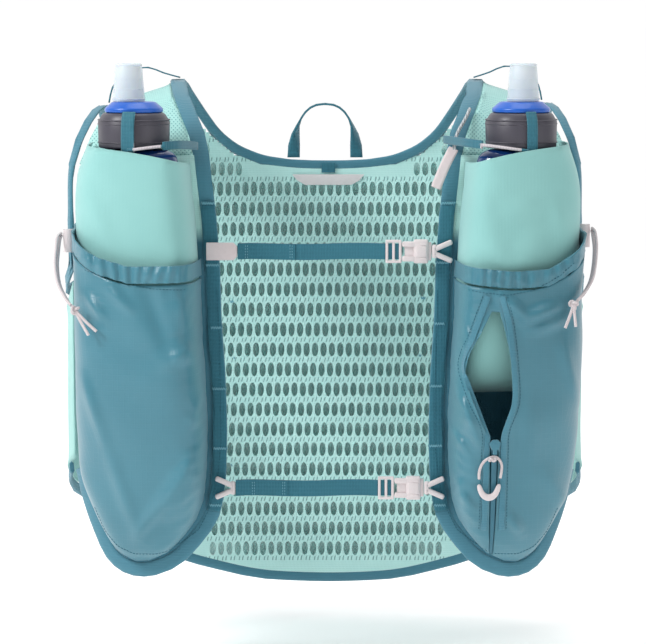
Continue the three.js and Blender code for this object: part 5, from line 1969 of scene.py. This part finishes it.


# %% [markdown]
# The grip is a moulded piece that is held by its cord. Its solid is subdivided until it is round. The knot
# sits where the two ends of the loop cross.

# %% Grip and knot
grip = merged_copy("zip_grip", "zip_grip_moulding")
subdivide(grip, 3)
lay_map(grip)
shade_smooth(grip, 60)
dress(grip, pale_plastic, "pale_plastic", "zip_grip")
pull_knot = tube(
    "zip_pull_knot", knot_line(Vector((0.1243, -0.1632, -0.2858)), Vector((0, 0, 1)), 0.0026),
    ZIP_CORD * 0.85, closed=True)
dress(pull_knot, pale_cord, "pale_cord")
run_length(pull_line)

# %% [markdown]
# The teeth of a closed coil zip are far below a millimetre, too fine to model here. The
# solids of the tape and of the slider get soft edges, and the tape the dark tone of the
# coils.

# %% Zip tape and slider
for node in ("zip_tape", "zip_slider"):
    softened(node, dark_coil if node == "zip_tape" else binding, "steel_teal_binding", 0.3)
print("zip made")

# %% [markdown]
# ## Flasks
# A soft flask is a film bag that bulges with its water. It could be inflated by cloth
# simulation, but the solid already has the bulge. It is smoothed, dented by a slow noise, and
# slimmed a little, so that the film doesn't show through the knit of its pocket.


# %% Film bag
BAG_SLIM = 0.93


def film_bag(side):
    """The bag, drawn in towards its own middle line."""
    node = f"flask_body_{side}"
    bag = merged_copy(node, node + "_film")
    crease_rims(bag, math.radians(60), 0.5)
    subdivide(bag, 2)
    low, high = box_of(node)
    middle = (Vector(low) + Vector(high)) / 2 * MM
    for vertex in bag.data.vertices:
        slim = BAG_SLIM + 0.01 * noise.noise(vertex.co * 50)
        vertex.co.x = middle.x + (vertex.co.x - middle.x) * slim
        vertex.co.y = middle.y + (vertex.co.y - middle.y) * slim
    bag.data.update()
    lay_map(bag)
    shade_smooth(bag, 60)
    dress(bag, film, "navy_film", node)


# %% [markdown]
# The lid has a few ribs round it and the cover fine rings, where fingers grip. They could be
# cut into the profile. A thin torus that lies half in the wall gives the same light, and is
# added after the softened solids.


# %% Ribs and rings
LID_RIBS = (-27.5, -30.5, -44.5)
# height and radius of each ring, in millimetres
COVER_RINGS = ((14.6, 10.2), (4, 10.6), (-4, 11.4), (-11.5, 12.5))


def ring(name, centre, radius, thick):
    """A thin torus round an upright line."""
    bpy.ops.object.select_all(action="DESELECT")
    bpy.ops.mesh.primitive_torus_add(
        location=centre, major_radius=radius, minor_radius=thick, major_segments=48, minor_segments=8)
    piece = bpy.context.object
    piece.name = name
    bpy.ops.object.transform_apply(location=True, rotation=True, scale=True)
    return piece


def rings_round(name, node, rows, thick, material, slot):
    """Rings of (height, radius) round the upright middle line of a solid, as one piece."""
    low, high = box_of(node)
    x, y = (low[0] + high[0]) / 2, (low[1] + high[1]) / 2
    parts = [
        ring(f"{name}_{k}", Vector((x, y, z)) * MM, radius * MM, thick) for k, (z, radius) in enumerate(rows)
    ]
    piece = join(name, *parts)
    shade_smooth(piece, 60)
    dress(piece, material, slot)


# %% [markdown]
# Each flask is now put together: the bag, the satin lid, the bright valve and the frosted
# cover over it, and last the ribs and rings. Both flasks are alike, and stand in their
# pockets where their solids are.

# %% Both flasks
for side in ("left", "right"):
    film_bag(side)
    softened(f"flask_lid_{side}", charcoal, "charcoal_cap", 1.6, 4)
    softened(f"flask_cap_{side}", blue_plastic, "blue_cap", 0.8, 3)
    softened(f"flask_cover_{side}", frosted, "clear_cover", 0.35, 2)
    low, high = box_of(f"flask_lid_{side}")
    lid_radius = (high[0] - low[0]) / 2 * 0.985
    rows = [(z, lid_radius) for z in LID_RIBS]
    rings_round(f"lid_ribs_{side}", f"flask_lid_{side}", rows, 0.0006, charcoal, "charcoal_cap")
    rings_round(f"cover_rings_{side}", f"flask_cover_{side}", COVER_RINGS, 0.0005, frosted, "clear_cover")
    print("flask", side, "made")
